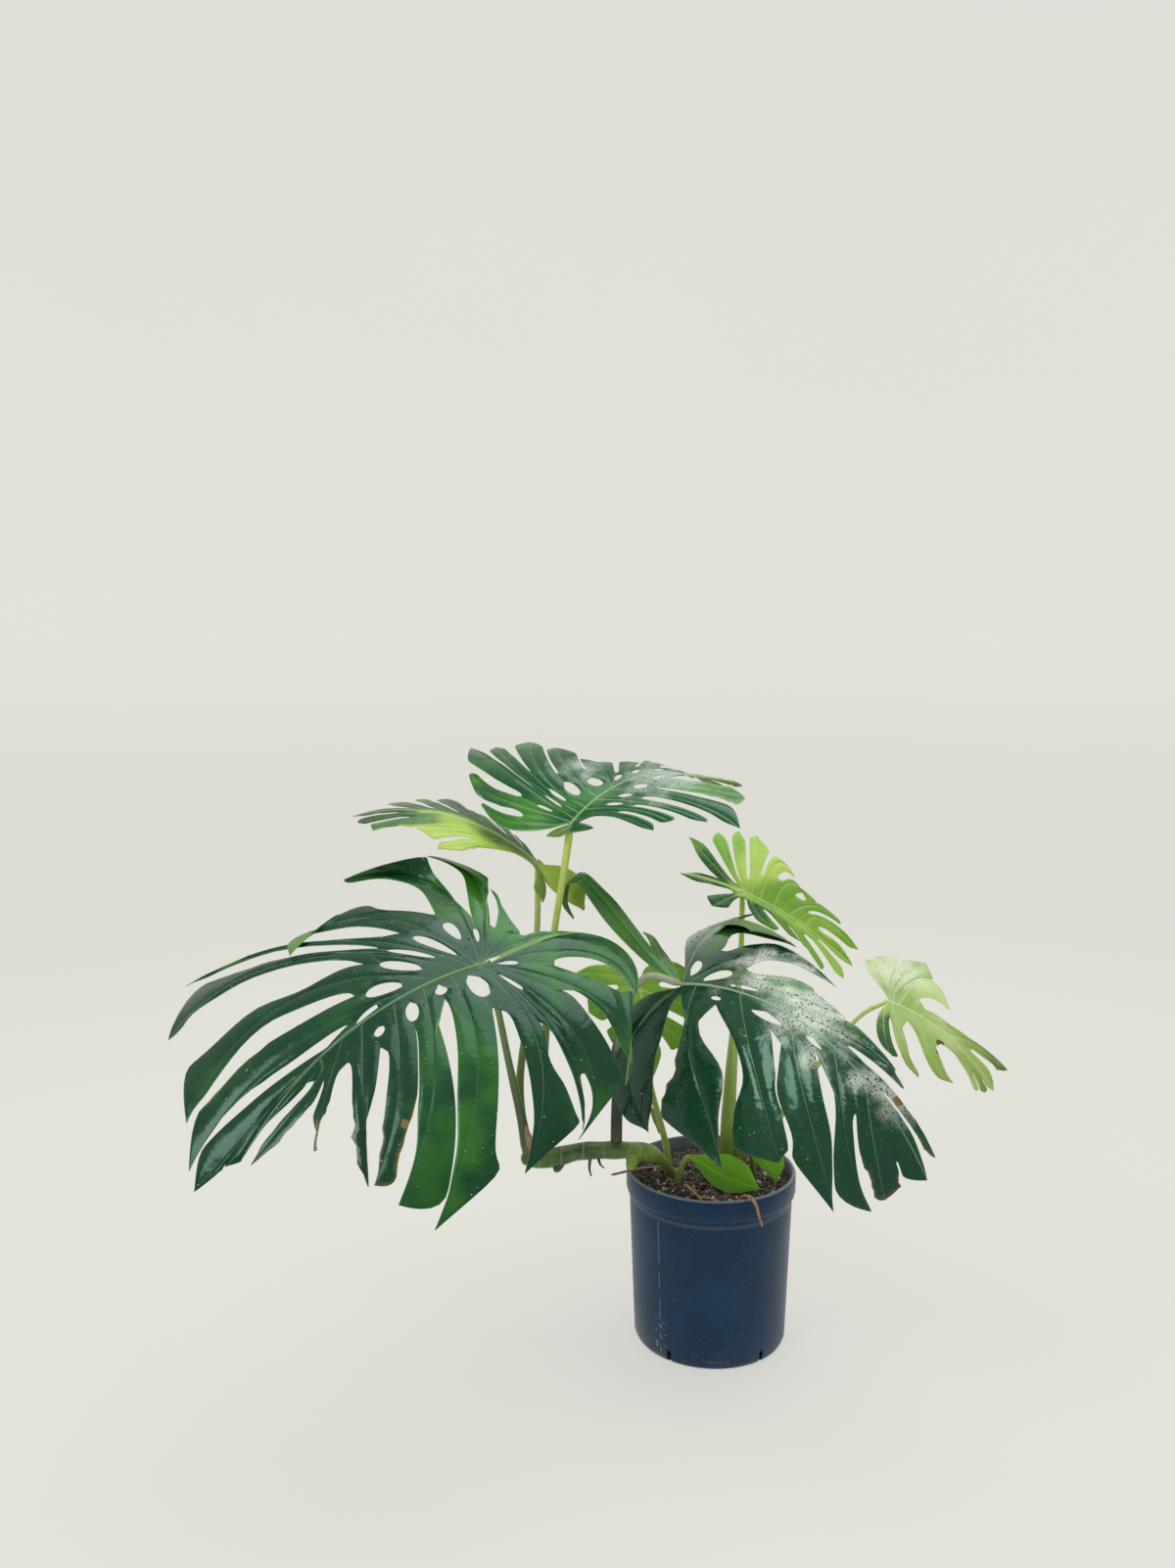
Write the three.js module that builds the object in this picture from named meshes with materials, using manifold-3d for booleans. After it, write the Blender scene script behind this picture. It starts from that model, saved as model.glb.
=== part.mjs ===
// Potted swiss cheese plant: a nursery can filled with bark mix, a creeping cane that has
// climbed out over the rim, six grown leaves with splits and holes, and young growth in the pot.
// Units are millimetres, +Z is up, the origin is the centre of the pot's underside,
// and the side that the photograph shows faces -Y.

import * as THREE from 'three';
import { mergeVertices } from 'three/addons/utils/BufferGeometryUtils.js';
import Module from 'manifold-3d';

const wasm = await Module();
wasm.setup();

// Driving dimensions of the pot
const potRimDiameter = 265;
const potBaseDiameter = 237;
const potHeight = 272;
const potWall = 3;
const potFloor = 4;
const potBottomRadius = 9;
const rimLipWidth = 3.5;
const rimLipHeight = 34;
const rimGrooveBelowTop = 44;
const rimGrooveHalf = 4;
const rimGrooveDepth = 1.2;
const potFloorBevel = 8;
const drainNotchCount = 5;
const drainNotchWidth = 7;
const drainNotchHeight = 20;
const potSides = 60;

// Driving dimensions of the soil
const soilLevel = 250;
const soilCrown = 7;
const soilBump = 4;
const soilSides = 30;
const soilRings = [0, 26, 52, 76, 98, 115];

// Sheet thicknesses and clearances
const bladeThickness = 1.3;
const midribRise = 0.5;
const midribDrop = 2.6;
const jointGap = 0.35;
const smallestDetail = 0.03;

// One seeded generator for everything that varies from copy to copy
function seededRandom(seed) {
  let state = seed;
  return () => {
    state = (state * 16807) % 2147483647;
    return state / 2147483647;
  };
}

const degrees = Math.PI / 180;
const clamp01 = (value) => Math.min(1, Math.max(0, value));
const mix = (from, to, amount) => from + (to - from) * amount;
const mix2 = (from, to, amount) => [mix(from[0], to[0], amount), mix(from[1], to[1], amount)];

// Linear look-up in a width profile whose entries are evenly spaced from 0 to 1
function profileAt(widths, t) {
  const place = clamp01(t) * (widths.length - 1);
  const index = Math.min(Math.floor(place), widths.length - 2);
  return mix(widths[index], widths[index + 1], place - index);
}

// Solids and meshes

function geometryFrom(points, triangles) {
  const geometry = new THREE.BufferGeometry();
  geometry.setAttribute('position', new THREE.Float32BufferAttribute(points.flat(), 3));
  geometry.setIndex(triangles.flat());
  return geometry;
}

function solidFrom(geometry) {
  const bare = geometry.clone();
  bare.deleteAttribute('normal');
  bare.deleteAttribute('uv');
  const merged = mergeVertices(bare, 1e-4);
  return new wasm.Manifold(new wasm.Mesh({
    numProp: 3,
    vertProperties: new Float32Array(merged.attributes.position.array),
    triVerts: new Uint32Array(merged.index.array),
  }));
}

function joined(solids) {
  return solids.reduce((whole, piece) => whole.add(piece));
}

function meshFrom(name, solid, material) {
  const cut = solid.simplify(smallestDetail).getMesh();
  const geometry = new THREE.BufferGeometry();
  geometry.setAttribute('position', new THREE.Float32BufferAttribute(cut.vertProperties, 3));
  geometry.setIndex(new THREE.BufferAttribute(cut.triVerts, 1));
  geometry.computeVertexNormals();
  material.name = `${name}_material`;
  const mesh = new THREE.Mesh(geometry, material);
  mesh.name = name;
  return mesh;
}

function colouredMaterial(color, roughness) {
  return new THREE.MeshStandardMaterial({ color, roughness, metalness: 0 });
}

// A round stalk along hand-placed points, with a radius for each point and closed ends
function stalk(points, radii, sides = 8, steps = 10, widening = 0) {
  const curve = new THREE.CatmullRomCurve3(points.map((p) => new THREE.Vector3(...p)));
  const frames = curve.computeFrenetFrames(steps, false);
  const ring = [];
  const triangles = [];
  for (let i = 0; i <= steps; i += 1) {
    const centre = curve.getPointAt(i / steps);
    const radius = profileAt(radii, i / steps) + widening;
    for (let k = 0; k < sides; k += 1) {
      const angle = (2 * Math.PI * k) / sides;
      const offset = frames.normals[i].clone().multiplyScalar(radius * Math.cos(angle));
      offset.addScaledVector(frames.binormals[i], radius * Math.sin(angle));
      ring.push(centre.clone().add(offset).toArray());
    }
  }
  for (let i = 0; i < steps; i += 1) {
    for (let k = 0; k < sides; k += 1) {
      const next = (k + 1) % sides;
      const a = i * sides + k;
      const b = i * sides + next;
      triangles.push([a, b, b + sides], [a, b + sides, a + sides]);
    }
  }
  const last = steps * sides;
  for (let k = 1; k < sides - 1; k += 1) {
    triangles.push([0, k + 1, k], [last, last + k, last + k + 1]);
  }
  return solidFrom(geometryFrom(ring, triangles));
}

// Gives a sheet of polygons a thickness: both faces have the same triangles
function thickened(points, polygons, above, below) {
  const normals = points.map(() => new THREE.Vector3());
  const edges = new Map();
  for (const polygon of polygons) {
    const corner = polygon.map((index) => new THREE.Vector3(...points[index]));
    for (let k = 1; k < polygon.length - 1; k += 1) {
      const u = corner[k].clone().sub(corner[0]);
      const v = corner[k + 1].clone().sub(corner[0]);
      const area = u.cross(v);
      [0, k, k + 1].forEach((c) => normals[polygon[c]].add(area));
    }
    polygon.forEach((from, k) => {
      const to = polygon[(k + 1) % polygon.length];
      const key = Math.min(from, to) * 1e6 + Math.max(from, to);
      edges.set(key, edges.has(key) ? null : [from, to]);
    });
  }
  const count = points.length;
  const solidPoints = [];
  for (const side of [1, -1]) {
    points.forEach((point, index) => {
      const normal = normals[index].clone().normalize();
      const distance = side > 0 ? above[index] : -below[index];
      solidPoints.push(new THREE.Vector3(...point).addScaledVector(normal, distance).toArray());
    });
  }
  const triangles = [];
  for (const polygon of polygons) {
    for (let k = 1; k < polygon.length - 1; k += 1) {
      const [a, b, c] = [polygon[0], polygon[k], polygon[k + 1]];
      triangles.push([a, b, c], [a + count, c + count, b + count]);
    }
  }
  for (const edge of edges.values()) {
    if (edge) {
      const [from, to] = edge;
      triangles.push([to, from, from + count], [to, from + count, to + count]);
    }
  }
  return solidFrom(geometryFrom(solidPoints, triangles));
}

// Leaf surface: the midrib bends down along its length and each half arches away from it.
// a runs along the midrib from the petiole, b runs across (left of the heading is positive).
function leafSurface(pose) {
  const heading = pose.heading * degrees;
  const startPitch = pose.pitch * degrees;
  const bend = (pose.bend * degrees) / 100;
  const forward = new THREE.Vector3(Math.cos(heading), Math.sin(heading), 0);
  const leftward = new THREE.Vector3(-Math.sin(heading), Math.cos(heading), 0);
  const start = new THREE.Vector3(...pose.start);
  const onSurface = (a, b) => {
    const pitch = startPitch - bend * a;
    const along = (Math.sin(startPitch) - Math.sin(pitch)) / bend;
    const rise = (Math.cos(pitch) - Math.cos(startPitch)) / bend;
    const centre = start.clone().addScaledVector(forward, along);
    centre.z += rise;
    const up = forward.clone().multiplyScalar(-Math.sin(pitch));
    up.z += Math.cos(pitch);
    const roll = (pose.roll + (pose.twist * a) / 100) * degrees;
    const left = leftward.clone().multiplyScalar(Math.cos(roll)).addScaledVector(up, Math.sin(roll));
    const normal = up.clone().multiplyScalar(Math.cos(roll)).addScaledVector(leftward, -Math.sin(roll));
    const [fold, curl] = b >= 0 ? pose.leftHalf : pose.rightHalf;
    const slope = fold * degrees;
    const turn = (curl * degrees) / 100;
    const across = (Math.sin(slope) - Math.sin(slope - turn * Math.abs(b))) / turn;
    const arch = (Math.cos(slope - turn * Math.abs(b)) - Math.cos(slope)) / turn;
    return centre.addScaledVector(left, Math.sign(b) * across).addScaledVector(normal, arch);
  };
  return (a, b, lift) => {
    const alongA = onSurface(a + 0.5, b).sub(onSurface(a - 0.5, b));
    const alongB = onSurface(a, b + 0.5).sub(onSurface(a, b - 0.5));
    const normal = alongA.cross(alongB).normalize();
    return onSurface(a, b).addScaledVector(normal, lift).toArray();
  };
}

// One lobe of a leaf: where its vein leaves the midrib, the point the vein passes half way,
// its tip, where the split towards the next lobe begins (0 to 1 along the vein), how much of
// the half space stays open on the two banks of the split (one number for both, or own bank
// and next lobe's bank; below 0 the lobe bulges past the middle), how far the tip rises off the
// leaf's surface, and the hole near the midrib (start, end, width as parts of vein and space).
function lobe(root, middle, tip, split = 0.3, gap = 0.15, lift = 0, hole = null) {
  return { root, middle, tip, split, gap, lift, hole };
}

// Rows of the sheet along every vein: web, hole, web, then the split lobe
const rowsWithHoles = [
  ['web', 0], ['hole', 0], ['hole', 0.5], ['hole', 1], ['neck', 1],
  ['split', 0.1], ['split', 0.36], ['split', 0.66], ['split', 0.92], ['split', 1],
];
const plainRows = [
  ['web', 0], ['neck', 1], ['split', 0.12], ['split', 0.5], ['split', 0.88], ['split', 1],
];
const usualHole = [0.10, 0.22, 0];
const usualSplit = 0.33;
const leastSplit = 0.06;

// How the outline of a lobe runs: the split opens in a round end, the two banks keep their
// shared height for a while, and they close in on the vein at the tip (start and steepness)
const splitRoundEnd = 0.12;
const sharedHeightEnd = 0.35;
const ownTip = [0.75, 2.4];
const nextTip = [0.86, 2.4];
const lastTip = [0.5, 1.6];

// A lobe lifts off the leaf's surface from this part of its vein on; the midrib tapers as a power
const liftStart = 0.22;
const midribTaper = 0.7;
const tipRootBeyondLast = 12;

function placeOnVein([zone, u], [holeStart, holeEnd], split) {
  if (zone === 'web') return holeStart * u;
  if (zone === 'hole') return mix(holeStart, holeEnd, u);
  if (zone === 'neck') return mix(holeEnd, split, u);
  return mix(split, 1, u);
}

// The open share beside one bank of a split: a number, a pair, or profiles in a pair.
// Where the next lobe bulges past the middle, the own bank makes room for it.
function bankAt(gap, bank, u) {
  const shares = (Array.isArray(gap) ? gap : [gap, gap]).map((share) => (
    Array.isArray(share) ? profileAt(share, u) : share));
  return bank === 0 ? Math.max(shares[0], leastSplit - shares[1]) : shares[1];
}

// The split leaf blade as a sheet: each lobe has a strip on both sides of its vein, and
// neighbouring strips meet on the line half way between the veins until the split begins.
function lobedBlade(pose, leaf, rows) {
  const place = leafSurface(pose);
  const points = [];
  const above = [];
  const below = [];
  const known = new Map();
  const polygons = [];
  const sideways = (a) => {
    const share = clamp01(a / leaf.length);
    return leaf.bow * 4 * share * (1 - share);
  };
  const midribHalf = (a) => leaf.rib * clamp01(1 - a / leaf.length) ** midribTaper;
  const addPoint = ([a, b], lift, onRib) => {
    const key = `${a.toFixed(2)} ${b.toFixed(2)} ${lift.toFixed(2)}`;
    if (!known.has(key)) {
      known.set(key, { index: points.length, a });
      points.push(place(a, b, lift));
      const taper = clamp01(1 - a / leaf.length);
      above.push(bladeThickness / 2 + (onRib ? midribRise * taper : 0));
      below.push(bladeThickness / 2 + (onRib ? midribDrop * taper : 0));
    }
    return known.get(key);
  };
  const ribLine = {};
  for (const [name, sign] of [['left', 1], ['right', -1]]) {
    const lobes = leaf[name];
    const count = lobes.length;
    const tipRoot = lobes[count - 1].root + tipRootBeyondLast;
    const onRibEdge = (a) => [a, sideways(a) + sign * midribHalf(a)];
    const vein = (i, s) => {
      if (i >= count) return onRibEdge(mix(tipRoot, leaf.length, s));
      const root = onRibEdge(lobes[i].root);
      const middle = [lobes[i].middle[0], sign * lobes[i].middle[1]];
      const tip = [lobes[i].tip[0], sign * lobes[i].tip[1]];
      return [0, 1].map((c) => {
        const control = 2 * middle[c] - (root[c] + tip[c]) / 2;
        return (1 - s) ** 2 * root[c] + 2 * s * (1 - s) * control + s * s * tip[c];
      });
    };
    const liftOf = (i, s) => {
      const share = clamp01((s - liftStart) / (1 - liftStart));
      return i < count ? lobes[i].lift * share ** 2 : 0;
    };
    const outerMargin = (s) => {
      const here = vein(0, s);
      const ahead = vein(0, Math.min(s + 0.01, 1));
      const behind = vein(0, Math.max(s - 0.01, 0));
      const direction = [ahead[0] - behind[0], ahead[1] - behind[1]];
      const size = Math.hypot(...direction);
      let outward = [-direction[1] / size, direction[0] / size];
      const inner = vein(1, s);
      const towardsNext = (inner[0] - here[0]) * outward[0] + (inner[1] - here[1]) * outward[1];
      if (towardsNext > 0) outward = outward.map((value) => -value);
      const width = profileAt(leaf[`${name}Margin`], s);
      return [here[0] + outward[0] * width, here[1] + outward[1] * width];
    };
    const stripRow = (bay, own, row) => {
      const spot = placeOnVein(row, usualHole, usualSplit);
      if (bay < 0) {
        const height = liftOf(0, spot);
        return { inner: vein(0, spot), outer: outerMargin(spot), lifts: [height, height] };
      }
      const { split } = lobes[bay];
      const hole = lobes[bay].hole ?? [0.3 * split, 0.65 * split, 0];
      const edgeSpot = placeOnVein(row, hole, split);
      const [zone, u] = row;
      let pull = 0;
      let shared = 1;
      if (zone === 'hole') {
        pull = hole[2] * Math.sqrt(Math.max(0, 1 - (2 * u - 1) ** 2));
      }
      if (zone === 'split') {
        const opening = Math.sqrt(1 - (1 - Math.min(u / splitRoundEnd, 1)) ** 2);
        const bankTip = own === bay ? ownTip : nextTip;
        const [endStart, endPower] = own >= count ? lastTip : bankTip;
        const closing = clamp01((u - endStart) / (1 - endStart)) ** endPower;
        pull = mix(bankAt(lobes[bay].gap, own === bay ? 0 : 1, u) * opening, 1, closing);
        shared = 1 - clamp01(u / sharedHeightEnd);
      }
      const ownVein = vein(own, edgeSpot);
      const middle = mix2(vein(bay, edgeSpot), vein(bay + 1, edgeSpot), 0.5);
      const meanLift = (liftOf(bay, edgeSpot) + liftOf(bay + 1, edgeSpot)) / 2;
      return {
        inner: vein(own, spot),
        outer: mix2(middle, ownVein, pull),
        lifts: [liftOf(own, spot), mix(liftOf(own, edgeSpot), meanLift, shared)],
      };
    };
    const rib = [];
    let lastStrip = null;
    for (let bay = -1; bay < count; bay += 1) {
      for (const own of [bay, bay + 1]) {
        if (own >= 0) {
          const strip = rows.map((row) => {
            const { inner, outer, lifts } = stripRow(bay, own, row);
            const first = row === rows[0];
            return [addPoint(inner, lifts[0], first), addPoint(outer, lifts[1], first)];
          });
          for (let j = 0; j < strip.length - 1; j += 1) {
            const around = [strip[j][0], strip[j + 1][0], strip[j + 1][1], strip[j][1]];
            const corners = around.map((corner) => corner.index);
            if ((own === bay) === (sign > 0)) corners.reverse();
            const polygon = [...new Set(corners)];
            if (polygon.length >= 3) polygons.push(polygon);
          }
          const start = own === bay ? strip[0] : [strip[0][1], strip[0][0]];
          rib.push(...(bay < 0 ? [strip[0][0]] : start));
          lastStrip = strip;
        }
      }
    }
    rib.push(...lastStrip.map((pair) => pair[0]));
    ribLine[name] = rib.filter((entry, k) => k === 0 || entry.index !== rib[k - 1].index);
  }
  let i = 0;
  let j = 0;
  const { left, right } = ribLine;
  while (i < left.length - 1 || j < right.length - 1) {
    const leftTurn = j === right.length - 1 || (i < left.length - 1 && left[i + 1].a <= right[j + 1].a);
    const triangle = leftTurn
      ? [right[j].index, left[i + 1].index, left[i].index]
      : [right[j].index, right[j + 1].index, left[i].index];
    if (leftTurn) i += 1;
    else j += 1;
    if (new Set(triangle).size === 3) polygons.push(triangle);
  }
  return thickened(points, polygons, above, below);
}

// A narrow undivided blade or sheath along hand-placed points: widths to its left and right,
// the direction its left edge looks to, and how deep it is cupped
function strapBlade({ points, leftWidths, rightWidths, side, cup = 0, steps = 7 }) {
  const curve = new THREE.CatmullRomCurve3(points.map((p) => new THREE.Vector3(...p)));
  const sheet = [];
  const polygons = [];
  const across = [-1, -0.5, 0, 0.5, 1];
  for (let i = 0; i <= steps; i += 1) {
    const t = i / steps;
    const centre = curve.getPointAt(t);
    const tangent = curve.getTangentAt(t);
    const left = new THREE.Vector3(...side);
    left.addScaledVector(tangent, -left.dot(tangent)).normalize();
    const normal = tangent.clone().cross(left);
    for (const w of across) {
      const width = profileAt(w < 0 ? rightWidths : leftWidths, t);
      const offset = left.clone().multiplyScalar(w * width).addScaledVector(normal, cup * w * w * width);
      sheet.push(centre.clone().add(offset).toArray());
    }
  }
  const columns = across.length;
  for (let i = 0; i < steps; i += 1) {
    for (let k = 0; k < columns - 1; k += 1) {
      const a = i * columns + k;
      polygons.push([a, a + columns, a + columns + 1, a + 1]);
    }
  }
  const half = sheet.map(() => bladeThickness / 2);
  return thickened(sheet, polygons, half, half);
}

// Big dark leaf on the left, nearest to the camera
const leafAPose = {
  start: [-334, -200, 649], heading: 217, pitch: -14, bend: 7, roll: -26, twist: 0,
  leftHalf: [6, 14], rightHalf: [6, 12],
};
const leafA = {
  length: 415, bow: -22, rib: 5, leftMargin: [0, 34, 42, 40, 22, 0], rightMargin: [0, 12, 14, 12, 6, 0],
  right: [
    lobe(0, [-80, 10], [-132, -8], 0.45,
      [[0.7, 0.7, 0.8, 0.9, 0.9], [-0.7, 0.5, 0.9, 0.9, 0.9]], 6),
    lobe(2, [-65, 60], [-88, 125], 0.25,
      [[0.6, 0.7, 0.8, 0.9, 0.9], [0.1, 0.25, -0.2, -0.55, -0.9]], 10),
    lobe(4, [-86, 158], [-55, 240], 0.18,
      [[-0.1, 0.3, 0.7, 0.9, 0.9], [0.8, 0.7, 0.3, -0.3, -0.9]], 35, [0.07, 0.13, 0.4]),
    lobe(8, [-38, 214], [66, 246], 0.24,
      [[0.15, 0.55, 0.7, 0.75, 0.5], [0.2, 0.6, 0.3, 0.2, -0.3]], 46, [0.09, 0.18, 0.35]),
    lobe(14, [76, 201], [185, 203], 0.26,
      [[0.1, 0.2, 0, 0.5, 0.8], [0.5, 0.9, 0.7, 0.5, 0.6]], 8, [0.05, 0.21, 0.45]),
    lobe(24, [143, 200], [288, 365], 0.22,
      [[0.3, 0.6, 0.8, 0.85, 0.75], [0.5, 0.3, 0, -0.45, -0.8]], 5, [0.07, 0.19, 0.5]),
    lobe(42, [221, 234], [359, 256], 0.2,
      [[0.4, 0.65, 0.75, 0.8, 0.7], [0, 0.75, 0.55, 0.5, 0.1]], 0, [0.05, 0.16, 0.45]),
    lobe(80, [238, 130], [420, 102], 0.21,
      [[0.35, 0.45, 0.7, 0.55, 0.5], [0.1, 0.25, 0, -0.25, -0.8]], 0, [0.05, 0.17, 0.5]),
    lobe(120, [300, 65], [460, 50], 0.17,
      [[0.2, 0.2, 0.45, 0.9, 0.9], [0.8, 0.35, 0, -0.45, -1.1]], 0, [0.04, 0.12, 0.7]),
    lobe(175, [326, 19], [474, 26], 0.9, 0.03),
  ],
  left: [
    lobe(0, [-150, 50], [-165, 145], 0.23,
      [[0.45, 0.65, 0.7, 0.75, 0.9], [0.2, 0.2, 0, -0.5, -1]], 0, [0.03, 0.1, 0.4]),
    lobe(4, [-110, 158], [-65, 255], 0.23,
      [[0.8, 0.75, 0.55, 0.8, 0.9], [-0.55, -0.1, -0.1, -0.4, -0.9]]),
    lobe(8, [-30, 195], [58, 285], 0.62,
      [[0.1, 0.6, 0.9, 0.85, 0.7], [0.7, 0.85, 0.9, 0.9, 0.6]], 0, [0.06, 0.16, 0.6]),
    lobe(11, [-5, 179], [43, 278], 0.34,
      [[0.8, 0.7, 0.75, 0.85, 0.9], [-0.3, 0.4, -0.2, -0.6, -1]]),
    lobe(15, [36, 170], [165, 278], 0.21,
      [[0.5, 0.5, 0.65, 0.85, 0.9], [0.15, 0.3, 0.3, 0.1, -0.5]], 0, [0.02, 0.15, 0.5]),
    lobe(55, [140, 156], [322, 250], 0.09,
      [[0.15, 0.1, 0.15, 0.7, 0.95], [0.8, 0.45, -0.05, -0.6, -1.1]], 0, [0.01, 0.065, 0.4]),
    lobe(97, [191, 125], [331, 198], 0.18,
      [[0.12, 0.12, 0.27, 0.8, 0.9], [-0.06, -0.06, -0.2, 0, -0.7]], 0, [0.03, 0.14, 0.4]),
    lobe(143, [224, 95], [333, 160], 0.2,
      [[0.45, 0.4, 0.15, 0.15, 0.6], [0.05, 0.3, 0.75, 0.9, 0.6]], 0, [0.07, 0.13, 0.3]),
    lobe(193, [268, 78], [340, 156], 0.2,
      [[0.3, 0.4, 0.35, 0.35, 0.6], [0.6, 0.7, 0.65, 0.75, 0.7]]),
    lobe(225, [299, 34], [351, 72], 0.34, [[0.3, 0.4, 0.35, 0.75, 0.8], [0, 0, 0.2, 0.35, 0.6]]),
    lobe(262, [299, 5], [411, 16], 0.32,
      [[0.8, 0.9, 0.5, 0.25, 0.4], [-0.35, 0.1, 0.85, 0.9, 0.9]]),
  ],
};

// Top leaf
const leafBPose = {
  start: [-221, 0, 814], heading: 32, pitch: 45, bend: 23.5, roll: 18, twist: -10,
  leftHalf: [14, 12], rightHalf: [-5, 6],
};
const leafB = {
  length: 340, bow: 0, rib: 4.5, leftMargin: [0, 6, 10, 12, 8, 0], rightMargin: [0, 4, 5, 4, 2, 0],
  left: [
    lobe(0, [-32, 72], [-32, 162], 0.36,
      [[0.35, 0.5, 0.5, 0.5], [0.35, 0.1, -0.1, -0.4]], 0, [0.1, 0.2, 0]),
    lobe(4, [-13, 150], [2, 250], 0.40,
      [[0.2, 0.4, 0.3, 0.1], [0.3, 0.1, -0.1, -0.5]], 8, [0.14, 0.26, 0.2]),
    lobe(12, [20, 124], [38, 320], 0.42, [[0.1, 0.2, 0.5, 0.7], 0.1], 34, [0.14, 0.32, 0.35]),
    lobe(24, [32, 130], [62, 285], 0.58, [[0.1, 0.4, 0.7], 0.05], 26, [0.16, 0.36, 0.5]),
    lobe(38, [46, 104], [96, 242], 0.50, [0.05, 0.2], 26, [0.14, 0.38, 0.5]),
    lobe(64, [78, 90], [114, 187], 0.60, 0.10, 14, [0.16, 0.40, 0.5]),
    lobe(96, [108, 30], [128, 88], 0.50, 0.20, 0, [0.18, 0.40, 0.5]),
    lobe(126, [146, 34], [184, 70], 0.50, 0.20, 0, [0.16, 0.34, 0.4]),
    lobe(160, [190, 40], [230, 84], 0.45, 0.20, 5, [0.16, 0.32, 0.4]),
    lobe(208, [238, 28], [278, 46], 0.40, 0.18, 0, [0.14, 0.28, 0.4]),
    lobe(255, [280, 14], [318, 24], 0.40, 0.20),
  ],
  right: [
    lobe(0, [-6, 5], [-12, 9], 0.22, [0.30, 0.80]),
    lobe(12, [48, 50], [64, 128], 0.42, 0.25, 0, [0.14, 0.28, 0]),
    lobe(36, [80, 76], [94, 138], 0.36, 0.35, 0, [0.12, 0.26, 0.4]),
    lobe(60, [108, 96], [132, 186], 0.26, 0.40, 0, [0.10, 0.18, 0.4]),
    lobe(90, [146, 126], [158, 238], 0.22,
      [[0.1, 0.1, 0, -0.1], [0.3, 0.4, 0.3, 0.1]], 0, [0.08, 0.16, 0.5]),
    lobe(130, [179, 110], [214, 186], 0.20,
      [[0.1, 0.1, 0, 0.1], [0.7, 0.8, 0.7, 0.6]], 0, [0.08, 0.14, 0.5]),
    lobe(190, [230, 56], [256, 112], 0.26, 0.25, 0, [0.08, 0.18, 0.4]),
    lobe(250, [286, 30], [312, 56], 0.32, 0.30),
  ],
};

// Pale-backed leaf at the upper left, behind the big one
const leafCPose = {
  start: [-273, 60, 744], heading: 166, pitch: 40, bend: 17, roll: 0, twist: 0,
  leftHalf: [-16, 8], rightHalf: [2, 7],
};
const leafC = {
  length: 335, bow: 0, rib: 4.5, leftMargin: [0, 4, 5, 4, 2, 0], rightMargin: [0, 2, 3, 2, 1, 0],
  left: [
    lobe(0, [-36, 34], [-55, 60], 0.12, [[0.7, 0.7, 0.7, 0.8], [0.8, 0.8, 0.7, 0.6]]),
    lobe(12, [79, 43], [140, 100], 0.50, [[0.2, 0.3, 0.4], [0.2, 0, -0.2]]),
    lobe(40, [136, 43], [184, 66], 0.44, [[0.1, 0.1, 0], 0.3]),
    lobe(80, [164, 40], [236, 56], 0.40, [[0.1, 0.3, 0.4], 0.1]),
    lobe(130, [216, 46], [270, 74], 0.34, [[0, -0.1, 0], 0.4]),
    lobe(190, [264, 26], [313, 34], 0.36, 0.25),
  ],
  right: [
    lobe(0, [-8, 6], [-18, 12], 0.3, 0.3),
    lobe(4, [24, 16], [56, 40], 0.40, 0.30),
    lobe(14, [62, 34], [112, 90], 0.46, 0.20),
    lobe(36, [92, 26], [146, 78], 0.44, 0.15),
    lobe(76, [154, 50], [234, 146], 0.40, 0.20, 8),
    lobe(122, [202, 50], [264, 124], 0.36, 0.25, 8),
    lobe(180, [238, 36], [298, 98], 0.36, 0.20, 6),
  ],
};

// Big dark leaf on the right
const leafDPose = {
  start: [-53, -60, 581], heading: 315, pitch: 9, bend: 13.4, roll: 22, twist: 0,
  leftHalf: [6, 10], rightHalf: [-28, 10],
};
const leafD = {
  length: 480, bow: 10, rib: 5, leftMargin: [0, 24, 46, 50, 36, 0], rightMargin: [0, 36, 50, 55, 40, 0],
  left: [
    lobe(0, [-65, 207], [48, 125], 0.23,
      [[-0.45, 0.1, -0.4, -0.5, -0.5], [0.55, 0.55, 0.55, 0.6, 0.7]], 20, [0.03, 0.12, 0.5]),
    lobe(14, [89, 97], [210, 89], 0.31,
      [[0.15, 0.65, 0.65, 0.6, 0.7], [0.45, 0.5, 0.45, 0.5, 0.6]], 8, [0.02, 0.21, 0.5]),
    lobe(50, [140, 49], [190, 66], 0.75, 0.15, 0, [0.03, 0.16, 0.5]),
    lobe(110, [247, 40], [347, 50], 0.31, 0.06, 6),
    lobe(200, [296, 40], [352, 40], 0.24, [0.3, 0.6], 14),
    lobe(290, [362, 26], [460, 26], 0.40, 0.15),
  ],
  right: [
    lobe(0, [-85, 112], [-10, 225], 0.06,
      [[0.1, -0.1, 0.15, 0.45, 0.8], [0.85, 0.85, 0.35, -0.3, -0.6]], -8),
    lobe(30, [80, 115], [254, 220], 0.11,
      [[0.55, 0.55, -0.05, 0.5, 0.9], [0.1, 0.55, 0.55, -0.1, -0.6]], 0, [0.05, 0.08, 0.2]),
    lobe(110, [204, 86], [341, 153], 0.14,
      [[-0.15, 0, 0.2, 0.35, 0.35], [0.6, 0.2, -0.25, -0.1, -0.6]], 0, [0.05, 0.11, 0.6]),
    lobe(200, [299, 72], [463, 127], 0.1,
      [[0, -0.05, -0.1, 0.35, 0.9], [0.7, 0.65, 0.25, -0.3, -0.8]], 0, [0.03, 0.07, 0.4]),
    lobe(275, [394, 68], [487, 82], 0.3, [[0.3, 0.45, 0.65, 0.8, 0.8], [0, -0.15, -0.2, 0, -0.3]]),
    lobe(335, [400, 32], [480, 60], 0.75, 0.05),
  ],
};

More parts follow.
